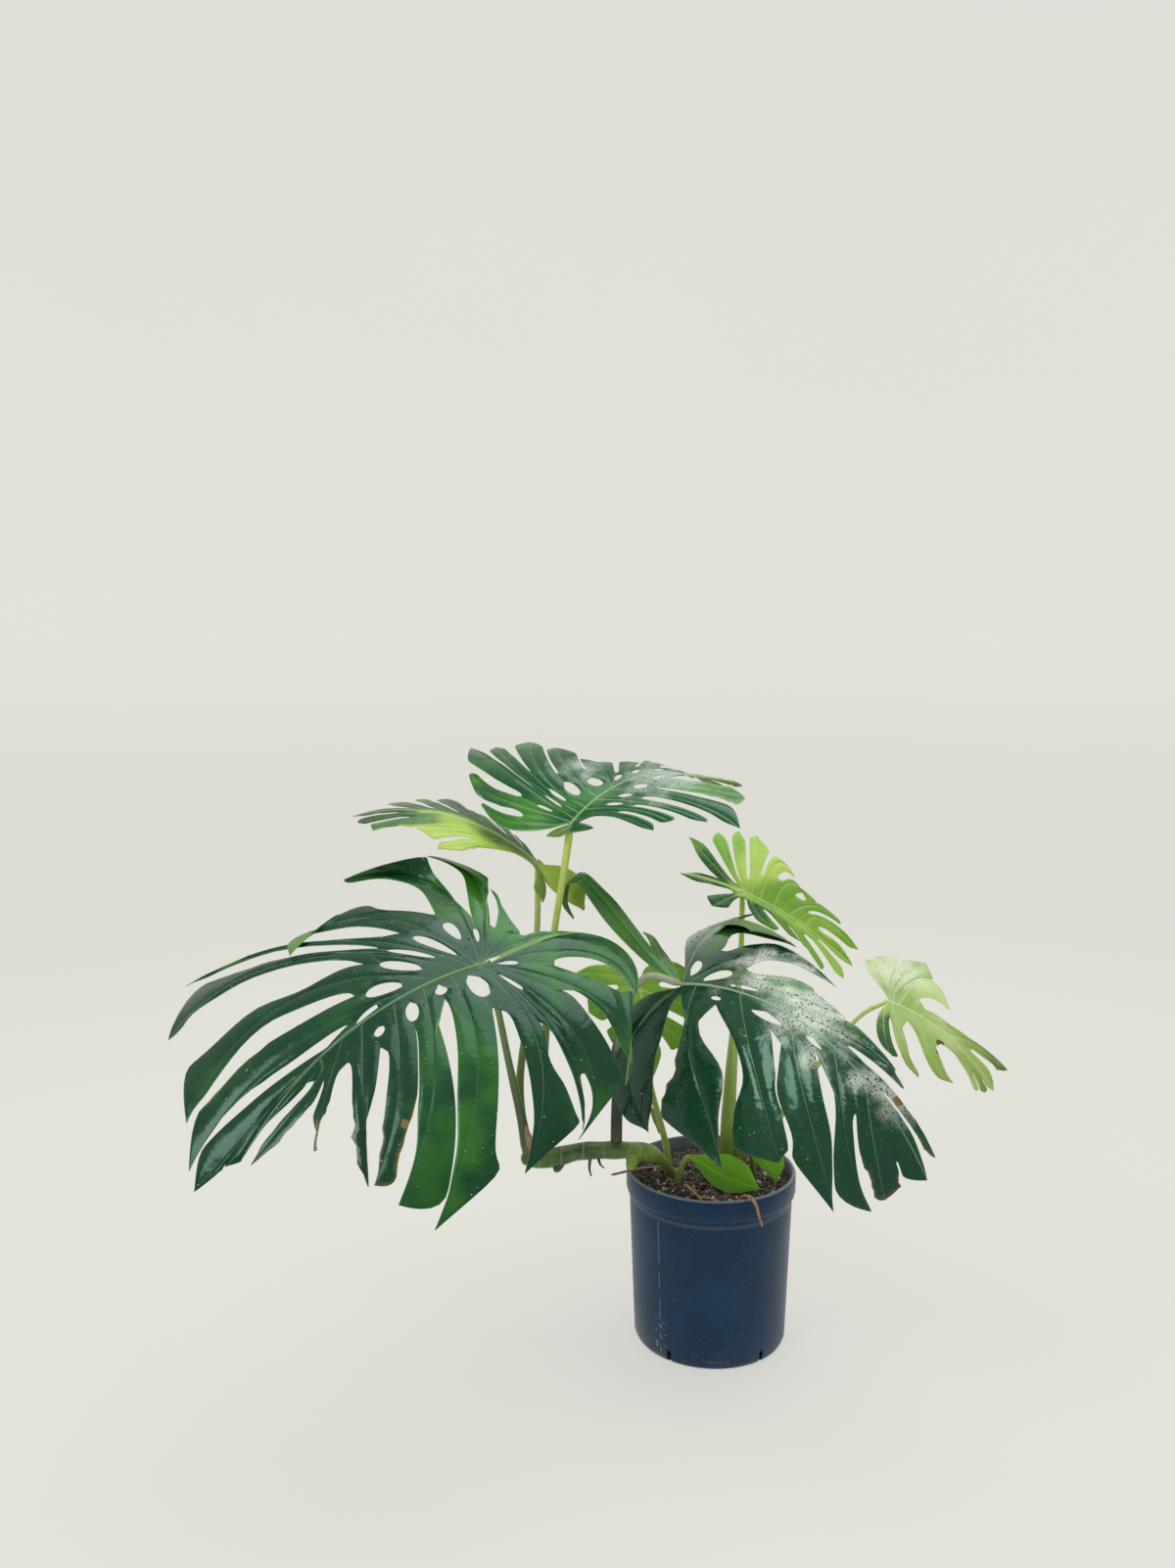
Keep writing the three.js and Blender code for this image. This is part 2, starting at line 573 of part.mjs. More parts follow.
// Young yellow-green leaf at the upper right
const leafEPose = {
  start: [74, 240, 664], heading: 337, pitch: -19, bend: 10, roll: 30, twist: 0,
  leftHalf: [25, 12], rightHalf: [-10, 10],
};
const leafE = {
  length: 225, bow: 0, rib: 3.5, leftMargin: [0, 8, 10, 12, 10, 0], rightMargin: [0, 6, 8, 8, 6, 0],
  left: [
    lobe(0, [-50, 20], [-124, 72], 0.22, 0.35),
    lobe(4, [-32, 32], [-80, 96], 0.22, 0.30),
    lobe(8, [-25, 42], [-52, 110], 0.26, 0.20),
    lobe(16, [0, 61], [-21, 112], 0.26, 0.20),
    lobe(34, [26, 72], [54, 76], 0.34, [0.1, 0.6]),
    lobe(60, [62, 54], [101, 40], 0.34, [0.1, 0.5]),
    lobe(90, [114, 40], [158, 47], 0.30, [0.1, 0.45]),
    lobe(125, [136, 28], [213, 28], 0.30, 0.25),
  ],
  right: [
    lobe(0, [-52, 1], [-117, 2], 0.22, 0.45),
    lobe(4, [-18, 26], [-35, 50], 0.22, 0.50),
    lobe(20, [34, 20], [83, 40], 0.30, 0.25),
    lobe(50, [96, 20], [136, 28], 0.30, 0.25),
    lobe(80, [144, 28], [190, 46], 0.26, 0.40),
    lobe(115, [174, 14], [228, 30], 0.28, 0.35),
  ],
};

// Pale leaf at the far right
const leafFPose = {
  start: [287, 60, 521], heading: 334, pitch: -14, bend: 21, roll: 20, twist: 0,
  leftHalf: [20, 14], rightHalf: [-10, 14],
};
const leafF = {
  length: 212, bow: 0, rib: 3.5, leftMargin: [0, 2, 4, 6, 6, 0], rightMargin: [0, 8, 12, 12, 8, 0],
  left: [
    lobe(0, [-30, 38], [-54, 70], 0.80, 0.10),
    lobe(3, [-22, 47], [-36, 87], 0.80, 0.10),
    lobe(8, [4, 45], [24, 104], 0.60, [0.1, 0.4]),
    lobe(18, [36, 70], [82, 44], 0.22, [[0, 0, 0.1], [0.7, 0.8, 0.8]]),
    lobe(55, [72, 12], [120, 14], 0.30, [0.1, 0.5]),
    lobe(110, [146, 26], [200, 44], 0.36, 0.20),
  ],
  right: [
    lobe(0, [15, 57], [50, 91], 0.20, 0.25),
    lobe(8, [58, 70], [112, 94], 0.12, [0.6, 0.4]),
    lobe(40, [120, 56], [162, 56], 0.22, [[0.5, 0.6, 0.7], [0.6, 0.8, 0.8]]),
    lobe(100, [162, 18], [196, 30], 0.50, 0.15),
    lobe(140, [180, 12], [206, 18], 0.60, 0.12),
  ],
};

// Small yellow-green leaf behind the middle of the plant
const leafJPose = {
  start: [-112, 100, 546], heading: 285, pitch: -48, bend: 12, roll: 0, twist: 0,
  leftHalf: [6, 10], rightHalf: [6, 10],
};
const leafJ = {
  length: 160, bow: 0, rib: 3, leftMargin: [0, 14, 18, 18, 12, 0], rightMargin: [0, 14, 18, 18, 12, 0],
  left: [
    lobe(0, [-10, 45], [-12, 88], 0.36, 0.20),
    lobe(20, [40, 44], [60, 84], 0.36, 0.25),
    lobe(60, [88, 34], [112, 60], 0.36, 0.25),
  ],
  right: [
    lobe(0, [-10, 50], [-20, 100], 0.36, 0.20),
    lobe(20, [36, 48], [52, 92], 0.36, 0.25),
    lobe(60, [84, 34], [106, 60], 0.36, 0.25),
  ],
};

// The cane: out of the soil at the left of the pot and over the rim
const canePoints = [
  [-50, 6, 228], [-62, -8, 264], [-84, -30, 298], [-108, -46, 314], [-132, -50, 318],
  [-166, -50, 318], [-205, -50, 316], [-250, -50, 306], [-296, -50, 305],
];
const caneRadii = [7, 7, 6.5, 6.5, 8.5, 13, 13.5, 12.5, 14, 12.8, 13.8, 13.2, 14.5, 15, 14, 9];
const caneSteps = 24;
const caneSides = 12;

// What grows from the cane: the round bud at the rim, its stub, and short aerial roots
const caneGrowth = [
  { points: [[-110, -56, 312], [-122, -58, 316], [-138, -56, 318]], radii: [6, 15, 16, 15, 6] },
  { points: [[-128, -72, 300], [-126, -76, 312], [-125, -78, 322]], radii: [8, 9, 6] },
  { points: [[-190, -52, 306], [-191, -60, 292], [-188, -64, 282]], radii: [2.6, 2, 1.2] },
  { points: [[-236, -48, 300], [-240, -54, 291], [-246, -56, 288]], radii: [9, 7, 4] },
  { points: [[-178, -48, 306], [-174, -58, 298], [-168, -62, 294]], radii: [2.4, 1.8, 1] },
];

// Petioles: the stalk of each leaf from the cane or the soil up to its blade
const petioles = {
  leaf_a: {
    points: [
      [-284, -52, 308], [-292, -74, 370], [-309, -120, 479], [-322, -160, 572],
      [-334, -200, 649],
    ],
    radii: [9, 7, 5.5, 5, 5.5],
  },
  leaf_b: {
    points: [
      [-262, -46, 308], [-262, -20, 420], [-254, -4, 560], [-245, 0, 649],
      [-229, 0, 749], [-220, 0, 814],
    ],
    radii: [9, 7, 6, 5.5, 5.5, 6],
  },
  leaf_c: {
    points: [
      [-288, -40, 306], [-300, 0, 400], [-286, 30, 520], [-274, 50, 638],
      [-273, 60, 744],
    ],
    radii: [8, 6.5, 5.5, 5, 5],
  },
  leaf_d: {
    points: [
      [-150, -48, 318], [-149, -42, 380], [-146, -40, 440], [-136, -46, 540],
      [-104, -58, 592], [-53, -60, 581],
    ],
    radii: [9, 9, 8, 6.5, 5.5, 5.5],
  },
  leaf_e: {
    points: [
      [24, 12, 228], [27, 15, 290], [31, 22, 376], [48, 110, 466],
      [72, 230, 572], [74, 240, 664],
    ],
    radii: [13, 12, 9, 6, 5, 4.5],
  },
  leaf_f: {
    points: [
      [66, 52, 228], [110, 56, 320], [180, 60, 420], [248, 60, 500],
      [287, 60, 521],
    ],
    radii: [8, 6.5, 5, 4, 4],
  },
  leaf_j: {
    points: [
      [-64, 0, 228], [-70, 10, 300], [-92, 30, 385], [-108, 70, 470],
      [-112, 100, 546],
    ],
    radii: [6.5, 5.5, 4.5, 4, 4],
  },
};

// Basal lobes and sheaths that don't lie in a leaf's own surface
const hookedLobe = {
  points: [
    [-54, -60, 581], [-94, -34, 614], [-132, -10, 655], [-173, 14, 701],
    [-205, 20, 730], [-224, 24, 722], [-230, 26, 688], [-216, 28, 662],
  ],
  leftWidths: [3, 9, 13, 16, 17, 15, 13, 9, 2],
  rightWidths: [3, 10, 16, 21, 22, 18, 14, 10, 2],
  side: [0.45, 0.75, 0.5],
  cup: 0.2,
  steps: 12,
};
const extraLobes = {
  leaf_b: [
    {
      points: [[-218, -3, 813], [-234, -10, 806], [-256, -14, 799]],
      leftWidths: [3, 5, 6, 5, 1],
      rightWidths: [3, 7, 8, 6, 1],
      side: [-0.3, 0.3, 0.9],
    },
  ],
  leaf_c: [
    {
      points: [[-272, 58, 742], [-250, 48, 724], [-222, 42, 700], [-199, 42, 673]],
      leftWidths: [3, 22, 30, 26, 2],
      rightWidths: [3, 12, 15, 11, 2],
      side: [0.6, 0.35, 0.7],
      cup: -0.1,
    },
  ],
  leaf_d: [
    hookedLobe,
    {
      points: [[-54, -60, 581], [-80, -26, 610], [-96, -6, 638], [-108, 4, 646]],
      leftWidths: [3, 10, 14, 10, 1],
      rightWidths: [3, 8, 12, 8, 1],
      side: [0.3, 0.8, 0.5],
    },
  ],
};
const sheaths = {
  leaf_a: {
    points: [[-276, -60, 312], [-282, -74, 336], [-287, -84, 372]],
    leftWidths: [5, 8, 6, 2],
    rightWidths: [4, 6, 5, 2],
    side: [0.8, -0.4, 0.2],
    cup: 0.3,
    steps: 4,
  },
  leaf_e: {
    points: [[45, 2, 262], [46, 6, 310], [36, 16, 378]],
    leftWidths: [18, 16, 10, 4],
    rightWidths: [12, 10, 8, 3],
    side: [-1, 0, 0],
    cup: -0.2,
    steps: 5,
  },
  leaf_j: {
    points: [[-78, 18, 318], [-88, 22, 342], [-99, 26, 368]],
    leftWidths: [4, 6, 4, 1],
    rightWidths: [4, 5, 4, 1],
    side: [0.8, -0.5, 0.3],
    cup: 0.3,
    steps: 4,
  },
};
const youngBlades = [
  {
    points: [[-39, -40, 305], [-16, -46, 294], [12, -58, 281], [38, -68, 275], [66, -76, 268]],
    leftWidths: [2, 16, 32, 34, 26, 2],
    rightWidths: [2, 10, 18, 20, 14, 2],
    side: [0.15, 0.55, 0.82],
    cup: -0.15,
    steps: 9,
  },
  {
    points: [[54, -30, 324], [70, -34, 306], [88, -44, 286], [97, -48, 266]],
    leftWidths: [2, 14, 26, 24, 2],
    rightWidths: [2, 10, 12, 8, 2],
    side: [0.7, 0.3, 0.6],
    cup: -0.15,
    steps: 7,
  },
];

// Stalks of the two young leaves
const youngStalks = [
  {
    points: [[-56, -28, 236], [-52, -34, 270], [-44, -38, 296], [-36, -41, 306]],
    radii: [7, 6, 5, 4],
  },
  {
    points: [[68, -6, 236], [64, -14, 276], [59, -24, 306], [56, -30, 322]],
    radii: [5, 5, 4, 3.5],
  },
];

// Twigs and roots in the potting mix, two of them hanging over the rim
const litter = [
  { points: [[-74, 46, 252], [-118, -14, 272], [-158, -70, 287]], radii: [1.6, 2.4, 1.6] },
  {
    points: [[24, -104, 248], [38, -112, 272], [50, -136, 276], [62, -144, 240]],
    radii: [2, 2.4, 2.4, 1.4],
  },
  {
    points: [[-46, -24, 250], [-42, -56, 263], [-28, -84, 260], [-14, -98, 250]],
    radii: [2.2, 2.6, 2.2, 1.8],
  },
  {
    points: [[-34, -74, 251], [-14, -92, 260], [4, -104, 258], [16, -108, 248]],
    radii: [2, 2.4, 2.2, 1.6],
  },
];

const materials = {
  pot: colouredMaterial(0x323d4c, 0.45),
  soil: colouredMaterial(0x2c2320, 0.95),
  cane: colouredMaterial(0x47592f, 0.6),
  darkLeaf: colouredMaterial(0x1f5a26, 0.35),
  youngLeaf: colouredMaterial(0x86b02a, 0.4),
};

// The pot: a blow-moulded can with a rolled rim, a groove below it and notches at the base
function potOuterRadius(z) {
  return mix(potBaseDiameter, potRimDiameter - 2 * rimLipWidth, z / potHeight) / 2;
}

function potProfile() {
  const top = potHeight;
  const groove = top - rimGrooveBelowTop;
  const rim = potRimDiameter / 2;
  const lipBottom = top - rimLipHeight;
  const inside = (z) => potOuterRadius(z) - potWall;
  const bevelTop = potFloor + potFloorBevel;
  return [
    [0, 0],
    [potOuterRadius(0) - potBottomRadius, 0],
    [potOuterRadius(3) - 2.6, 2.6],
    [potOuterRadius(potBottomRadius), potBottomRadius],
    [potOuterRadius(groove - rimGrooveHalf), groove - rimGrooveHalf],
    [potOuterRadius(groove) - rimGrooveDepth, groove],
    [potOuterRadius(groove + rimGrooveHalf), groove + rimGrooveHalf],
    [potOuterRadius(lipBottom - 2), lipBottom - 2],
    [rim - 1, lipBottom + 1],
    [rim, lipBottom + 5],
    [rim, top - 4],
    [rim - 1.5, top - 1],
    [rim - 4, top],
    [rim - 6.5, top - 2],
    [inside(lipBottom), lipBottom - 4],
    [inside(bevelTop), bevelTop],
    [inside(potFloor) - potFloorBevel, potFloor],
    [0, potFloor],
  ];
}

function potSolid() {
  const profile = potProfile().map(([r, z]) => new THREE.Vector2(r, z));
  const shell = new THREE.LatheGeometry(profile, potSides);
  shell.rotateX(Math.PI / 2);
  let solid = solidFrom(shell);
  for (let k = 0; k < drainNotchCount; k += 1) {
    const angle = -Math.PI / 2 + ((k + 0.5) * 2 * Math.PI) / drainNotchCount;
    const notch = new THREE.BoxGeometry(2 * potWall + 8, drainNotchWidth, 2 * drainNotchHeight);
    notch.translate(potBaseDiameter / 2, 0, 0);
    notch.rotateZ(angle);
    solid = solid.subtract(solidFrom(notch));
  }
  return solid;
}

// The soil fills the pot and has a low crown with small bumps on top
function soilSolid() {
  const random = seededRandom(71);
  const inside = (z) => potOuterRadius(z) - potWall - jointGap;
  const points = [[0, 0, soilLevel + soilCrown]];
  const triangles = [];
  const rimRing = soilRings.length - 1;
  for (let r = 1; r <= rimRing; r += 1) {
    for (let k = 0; k < soilSides; k += 1) {
      const angle = (2 * Math.PI * (k + 0.5 * (r % 2))) / soilSides;
      const radius = r === rimRing ? inside(soilLevel) : soilRings[r];
      const crown = soilCrown * (1 - (radius / soilRings[rimRing]) ** 2);
      const bump = r === rimRing ? 0 : soilBump * (2 * random() - 1);
      points.push([radius * Math.cos(angle), radius * Math.sin(angle), soilLevel + crown + bump]);
    }
  }
  const ringStart = (r) => 1 + (r - 1) * soilSides;
  for (let k = 0; k < soilSides; k += 1) {
    const next = (k + 1) % soilSides;
    triangles.push([0, 1 + k, 1 + next]);
    for (let r = 1; r < rimRing; r += 1) {
      const [a, b] = [ringStart(r) + k, ringStart(r) + next];
      const [c, d] = [ringStart(r + 1) + k, ringStart(r + 1) + next];
      if (r % 2) triangles.push([a, c, b], [b, c, d]);
      else triangles.push([a, c, d], [a, d, b]);
    }
  }
  const bevel = potFloorBevel + 1;
  const lowerRings = [
    [inside(potFloor + bevel), potFloor + bevel],
    [inside(potFloor) - bevel, potFloor + jointGap],
  ];
  let above = ringStart(rimRing);
  const turn = 0.5 * (rimRing % 2);
  for (const [radius, z] of lowerRings) {
    const start = points.length;
    for (let k = 0; k < soilSides; k += 1) {
      const angle = (2 * Math.PI * (k + turn)) / soilSides;
      points.push([radius * Math.cos(angle), radius * Math.sin(angle), z]);
    }
    for (let k = 0; k < soilSides; k += 1) {
      const next = (k + 1) % soilSides;
      triangles.push([above + k, start + k, start + next], [above + k, start + next, above + next]);
    }
    above = start;
  }
  for (let k = 1; k < soilSides - 1; k += 1) {
    triangles.push([above, above + k + 1, above + k]);
  }
  return solidFrom(geometryFrom(points, triangles));
}

function caneSolid(widening) {
  const trunk = stalk(canePoints, caneRadii, caneSides, caneSteps, widening);
  const growth = caneGrowth.map(({ points, radii }) => stalk(points, radii, 8, 5, widening));
  return joined([trunk, ...growth]);
}
const cane = caneSolid(0);
const caneClearance = caneSolid(jointGap);

const leaves = {
  leaf_a: [leafAPose, leafA, rowsWithHoles, materials.darkLeaf],
  leaf_b: [leafBPose, leafB, rowsWithHoles, materials.darkLeaf],
  leaf_c: [leafCPose, leafC, plainRows, materials.darkLeaf],
  leaf_d: [leafDPose, leafD, rowsWithHoles, materials.darkLeaf],
  leaf_e: [leafEPose, leafE, plainRows, materials.youngLeaf],
  leaf_f: [leafFPose, leafF, plainRows, materials.youngLeaf],
  leaf_j: [leafJPose, leafJ, plainRows, materials.youngLeaf],
};

const part = new THREE.Group();
part.name = 'potted_swiss_cheese_plant';

const litterSolids = litter.map(({ points, radii }) => stalk(points, radii, 6, 7));
let soil = joined([soilSolid(), ...litterSolids]).subtract(caneClearance);
for (const [name, [pose, leaf, rows, material]] of Object.entries(leaves)) {
  const { points, radii } = petioles[name];
  let solid = lobedBlade(pose, leaf, rows).add(stalk(points, radii));
  const straps = [...(extraLobes[name] ?? []), ...(sheaths[name] ? [sheaths[name]] : [])];
  solid = joined([solid, ...straps.map(strapBlade)]);
  solid = solid.subtract(caneClearance);
  soil = soil.subtract(stalk(points, radii, 8, 10, jointGap));
  part.add(meshFrom(name, solid, material.clone()));
}
youngBlades.forEach((blade, index) => {
  const { points, radii } = youngStalks[index];
  const solid = strapBlade(blade).add(stalk(points, radii, 8, 6));
  soil = soil.subtract(stalk(points, radii, 8, 6, jointGap));
  part.add(meshFrom(`young_leaf_${index + 1}`, solid, materials.youngLeaf.clone()));
});
part.add(meshFrom('cane', cane, materials.cane.clone()));
part.add(meshFrom('soil', soil, materials.soil.clone()));
part.add(meshFrom('pot', potSolid(), materials.pot.clone()));

export default part;
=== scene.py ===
# %% [markdown]
# # A swiss cheese plant in a nursery can
# The solids of this plant come from a CAD program and are loaded as a fixed frame. This notebook puts
# finely divided pieces over them: leaves with veins and torn edges, stalks, a cane, soil and the can.
# The frame is in metres. The plant's own sizes below are millimetres and are multiplied by MM when a
# mesh is made.

# %% Load the frame
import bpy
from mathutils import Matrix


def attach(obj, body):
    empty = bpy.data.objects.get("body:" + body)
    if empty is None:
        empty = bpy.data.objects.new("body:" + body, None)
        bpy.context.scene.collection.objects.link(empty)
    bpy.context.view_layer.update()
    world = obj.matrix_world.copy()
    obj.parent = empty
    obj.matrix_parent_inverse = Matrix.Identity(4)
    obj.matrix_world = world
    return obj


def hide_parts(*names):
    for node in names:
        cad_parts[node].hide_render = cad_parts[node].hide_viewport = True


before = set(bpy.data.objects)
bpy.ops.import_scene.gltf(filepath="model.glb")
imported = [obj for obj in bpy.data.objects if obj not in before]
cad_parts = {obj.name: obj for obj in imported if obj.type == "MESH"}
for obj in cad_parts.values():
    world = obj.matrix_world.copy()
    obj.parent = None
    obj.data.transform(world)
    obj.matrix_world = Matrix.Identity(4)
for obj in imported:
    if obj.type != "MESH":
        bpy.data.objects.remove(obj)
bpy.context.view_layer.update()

# %% Modules and units
import math

import bpy
import numpy as np
from mathutils import Vector, noise

MM = 0.001
DEGREES = math.pi / 180

# %% [markdown]
# ## Small tools for trees and meshes
# Every material and every geometry tree below is a chain of nodes. One helper adds a node, sets its
# fields and links its inputs, so that a chain reads from top to bottom like a recipe. Another helper
# runs a geometry tree once and keeps the result as a plain mesh, because a finished piece carries no
# live tree.

# %% Node helpers
def feed(tree, node, inputs):
    """Gives each named input either a socket to read or a value to keep."""
    for key, value in inputs.items():
        if isinstance(value, bpy.types.NodeSocket):
            tree.links.new(value, node.inputs[key])
        else:
            node.inputs[key].default_value = value


def add_node(tree, kind, inputs=None, **fields):
    """Adds a node with its fields and inputs."""
    made = tree.nodes.new(kind)
    for field, value in fields.items():
        setattr(made, field, value)
    feed(tree, made, inputs or {})
    return made


def maths(tree, operation, first, second=0.0, third=0.0):
    """The value of one calculation between sockets or numbers."""
    inputs = {0: first, 1: second, 2: third}
    return add_node(tree, "ShaderNodeMath", inputs, operation=operation).outputs[0]


def times(tree, value, factor, added=0.0):
    """A value times a factor, plus something."""
    return maths(tree, "MULTIPLY_ADD", value, factor, added)


def vectors(tree, operation, first, second):
    """One calculation between two vectors; for SCALE the second is a number."""
    inputs = {0: first, ("Scale" if operation == "SCALE" else 1): second}
    return add_node(tree, "ShaderNodeVectorMath", inputs, operation=operation).outputs


def fade(tree, value, start, end):
    """0 below start, 1 above end, eased between (start may be above end)."""
    inputs = {"Value": value, "From Min": start, "From Max": end}
    if start > end:
        inputs.update({"From Min": end, "From Max": start, "To Min": 1.0, "To Max": 0.0})
    return add_node(tree, "ShaderNodeMapRange", inputs, interpolation_type="SMOOTHSTEP").outputs[0]


def blend_colours(tree, amount, first, second):
    """Mixes two colours, each a socket or a colour."""
    inputs = {0: amount, 6: first, 7: second}
    return add_node(tree, "ShaderNodeMix", inputs, data_type="RGBA").outputs[2]


def lay_over(tree, body, mask, strength, tone):
    """Puts a tone over the body's colour where the mask is."""
    return blend_colours(tree, maths(tree, "MULTIPLY", mask, strength), body, tone)


def noise_value(tree, vector, scale, detail=3.0):
    inputs = {"Vector": vector, "Scale": scale, "Detail": detail}
    return add_node(tree, "ShaderNodeTexNoise", inputs).outputs[0]


def patches(tree, place, scale, detail, start, end):
    """Soft-edged patches of noise."""
    return fade(tree, noise_value(tree, place, scale, detail), start, end)


def streaks_along(tree, place, scales, detail):
    """Noise drawn out into streaks: a scale for each axis."""
    return noise_value(tree, vectors(tree, "MULTIPLY", place, scales)[0], 1.0, detail)


def split_axes(tree, place):
    return add_node(tree, "ShaderNodeSeparateXYZ", {0: place}).outputs


def read_attribute(tree, name):
    return add_node(tree, "ShaderNodeAttribute", attribute_name=name).outputs["Fac"]


def colour(red, green, blue):
    """A colour as a screen shows it (0 to 255) in Blender's linear values."""
    def linear(value):
        part = value / 255
        return part / 12.92 if part <= 0.04045 else ((part + 0.055) / 1.055) ** 2.4
    return (linear(red), linear(green), linear(blue), 1.0)


def new_material(name):
    """A node material, its tree, its shader and the object's own coordinates."""
    material = bpy.data.materials.new(name)
    material.use_nodes = True
    tree = material.node_tree
    place = add_node(tree, "ShaderNodeTexCoord").outputs["Object"]
    return material, tree, tree.nodes["Principled BSDF"], place


def add_bump(tree, shader, height, distance, strength=0.6):
    """Relief on the shader from a height value; distance is in metres."""
    inputs = {"Height": height, "Distance": distance, "Strength": strength}
    bump = add_node(tree, "ShaderNodeBump", inputs)
    tree.links.new(bump.outputs[0], shader.inputs["Normal"])


# %% Mesh helpers
def add_object(name, data):
    """Puts a mesh, lamp or camera into the scene."""
    made = bpy.data.objects.new(name, data)
    bpy.context.scene.collection.objects.link(made)
    return made


def make_object(name, points, faces, values=None, edges=(), sharp_angle=None):
    """A mesh object from points in millimetres, with one float attribute for each entry of values."""
    mesh = bpy.data.meshes.new(name)
    mesh.from_pydata((np.asarray(points, float) * MM).tolist(), list(edges), faces)
    for key, numbers in (values or {}).items():
        layer = mesh.attributes.new(key, "FLOAT", "POINT")
        layer.data.foreach_set("value", np.asarray(numbers, np.float32))
    if faces:
        mesh.shade_smooth()
    if sharp_angle:
        mesh.set_sharp_from_angle(angle=sharp_angle * DEGREES)
    return add_object(name, mesh)


def keep_result(piece):
    """Makes what the modifiers show the piece's own plain mesh, and removes them."""
    shown = piece.evaluated_get(bpy.context.evaluated_depsgraph_get())
    mesh = bpy.data.meshes.new_from_object(shown)
    piece.modifiers.clear()
    piece.data = mesh


def run_tree(piece, tree, settings):
    """Runs a geometry tree once on the piece and keeps the result as its plain mesh."""
    modifier = piece.modifiers.new(tree.name, "NODES")
    modifier.node_group = tree
    for item in tree.interface.items_tree:
        if item.in_out == "INPUT" and item.name in settings:
            modifier[item.identifier] = settings[item.name]
    keep_result(piece)
    return piece


def settle(piece, node):
    """Finishes a piece: it rides with the plant and stands for its CAD node."""
    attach(piece, "root")
    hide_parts(node)
    print(f"{piece.name}: {len(piece.data.vertices)} points, {len(piece.data.polygons)} faces")


# %% [markdown]
# Stalks, lobes and outlines are all given by a few points. A smooth curve through them does the rest, so
# that a shape is easy to change: one point moves and everything follows.

# %% Curves through a few points
STEPS_BETWEEN_POINTS = 60


def between(u, start, leaving, end, arriving):
    """A smooth step from start to end that leaves and arrives at the given slopes."""
    return (start * (2 * u**3 - 3 * u**2 + 1) + leaving * (u**3 - 2 * u**2 + u)
            + end * (3 * u**2 - 2 * u**3) + arriving * (u**3 - u**2))


def even_path(points, count):
    """Evenly spaced points on a smooth curve, the directions there, and its length."""
    places = np.array(points, float)
    padded = np.vstack([2 * places[0] - places[1], places, 2 * places[-1] - places[-2]])
    dense = []
    for i in range(1, len(padded) - 2):
        p0, p1, p2, p3 = padded[i - 1:i + 3]
        gaps = [np.linalg.norm(b - a) ** 0.5 for a, b in ((p0, p1), (p1, p2), (p2, p3))]
        start = (p1 - p0) / gaps[0] - (p2 - p0) / (gaps[0] + gaps[1]) + (p2 - p1) / gaps[1]
        end = (p2 - p1) / gaps[1] - (p3 - p1) / (gaps[1] + gaps[2]) + (p3 - p2) / gaps[2]
        for u in np.linspace(0, 1, STEPS_BETWEEN_POINTS, endpoint=False):
            dense.append(between(u, p1, start * gaps[1], p2, end * gaps[1]))
    dense = np.vstack([dense, places[-1]])
    lengths = np.concatenate([[0], np.cumsum(np.linalg.norm(np.diff(dense, axis=0), axis=1))])
    wanted = np.linspace(0, lengths[-1], count)
    even = np.column_stack([np.interp(wanted, lengths, dense[:, c]) for c in range(3)])
    directions = np.gradient(even, axis=0)
    return even, directions / np.linalg.norm(directions, axis=1)[:, None], lengths[-1]


def profile_at(widths, t):
    """Reads a row of widths that are evenly spaced from 0 to 1, with a smooth curve through them."""
    place = clamp01(t) * (len(widths) - 1)
    index = min(int(place), len(widths) - 2)
    u = place - index
    before = widths[max(index - 1, 0)]
    start, end = widths[index], widths[index + 1]
    after = widths[min(index + 2, len(widths) - 1)]
    return between(u, start, (end - before) / 2, end, (after - start) / 2)


def clamp01(value):
    return min(1.0, max(0.0, value))


def ease(value, start, end):
    """0 before start, 1 after end, eased between."""
    t = clamp01((value - start) / (end - start))
    return t * t * (3 - 2 * t)


def mix(start, end, amount):
    return start + (end - start) * amount
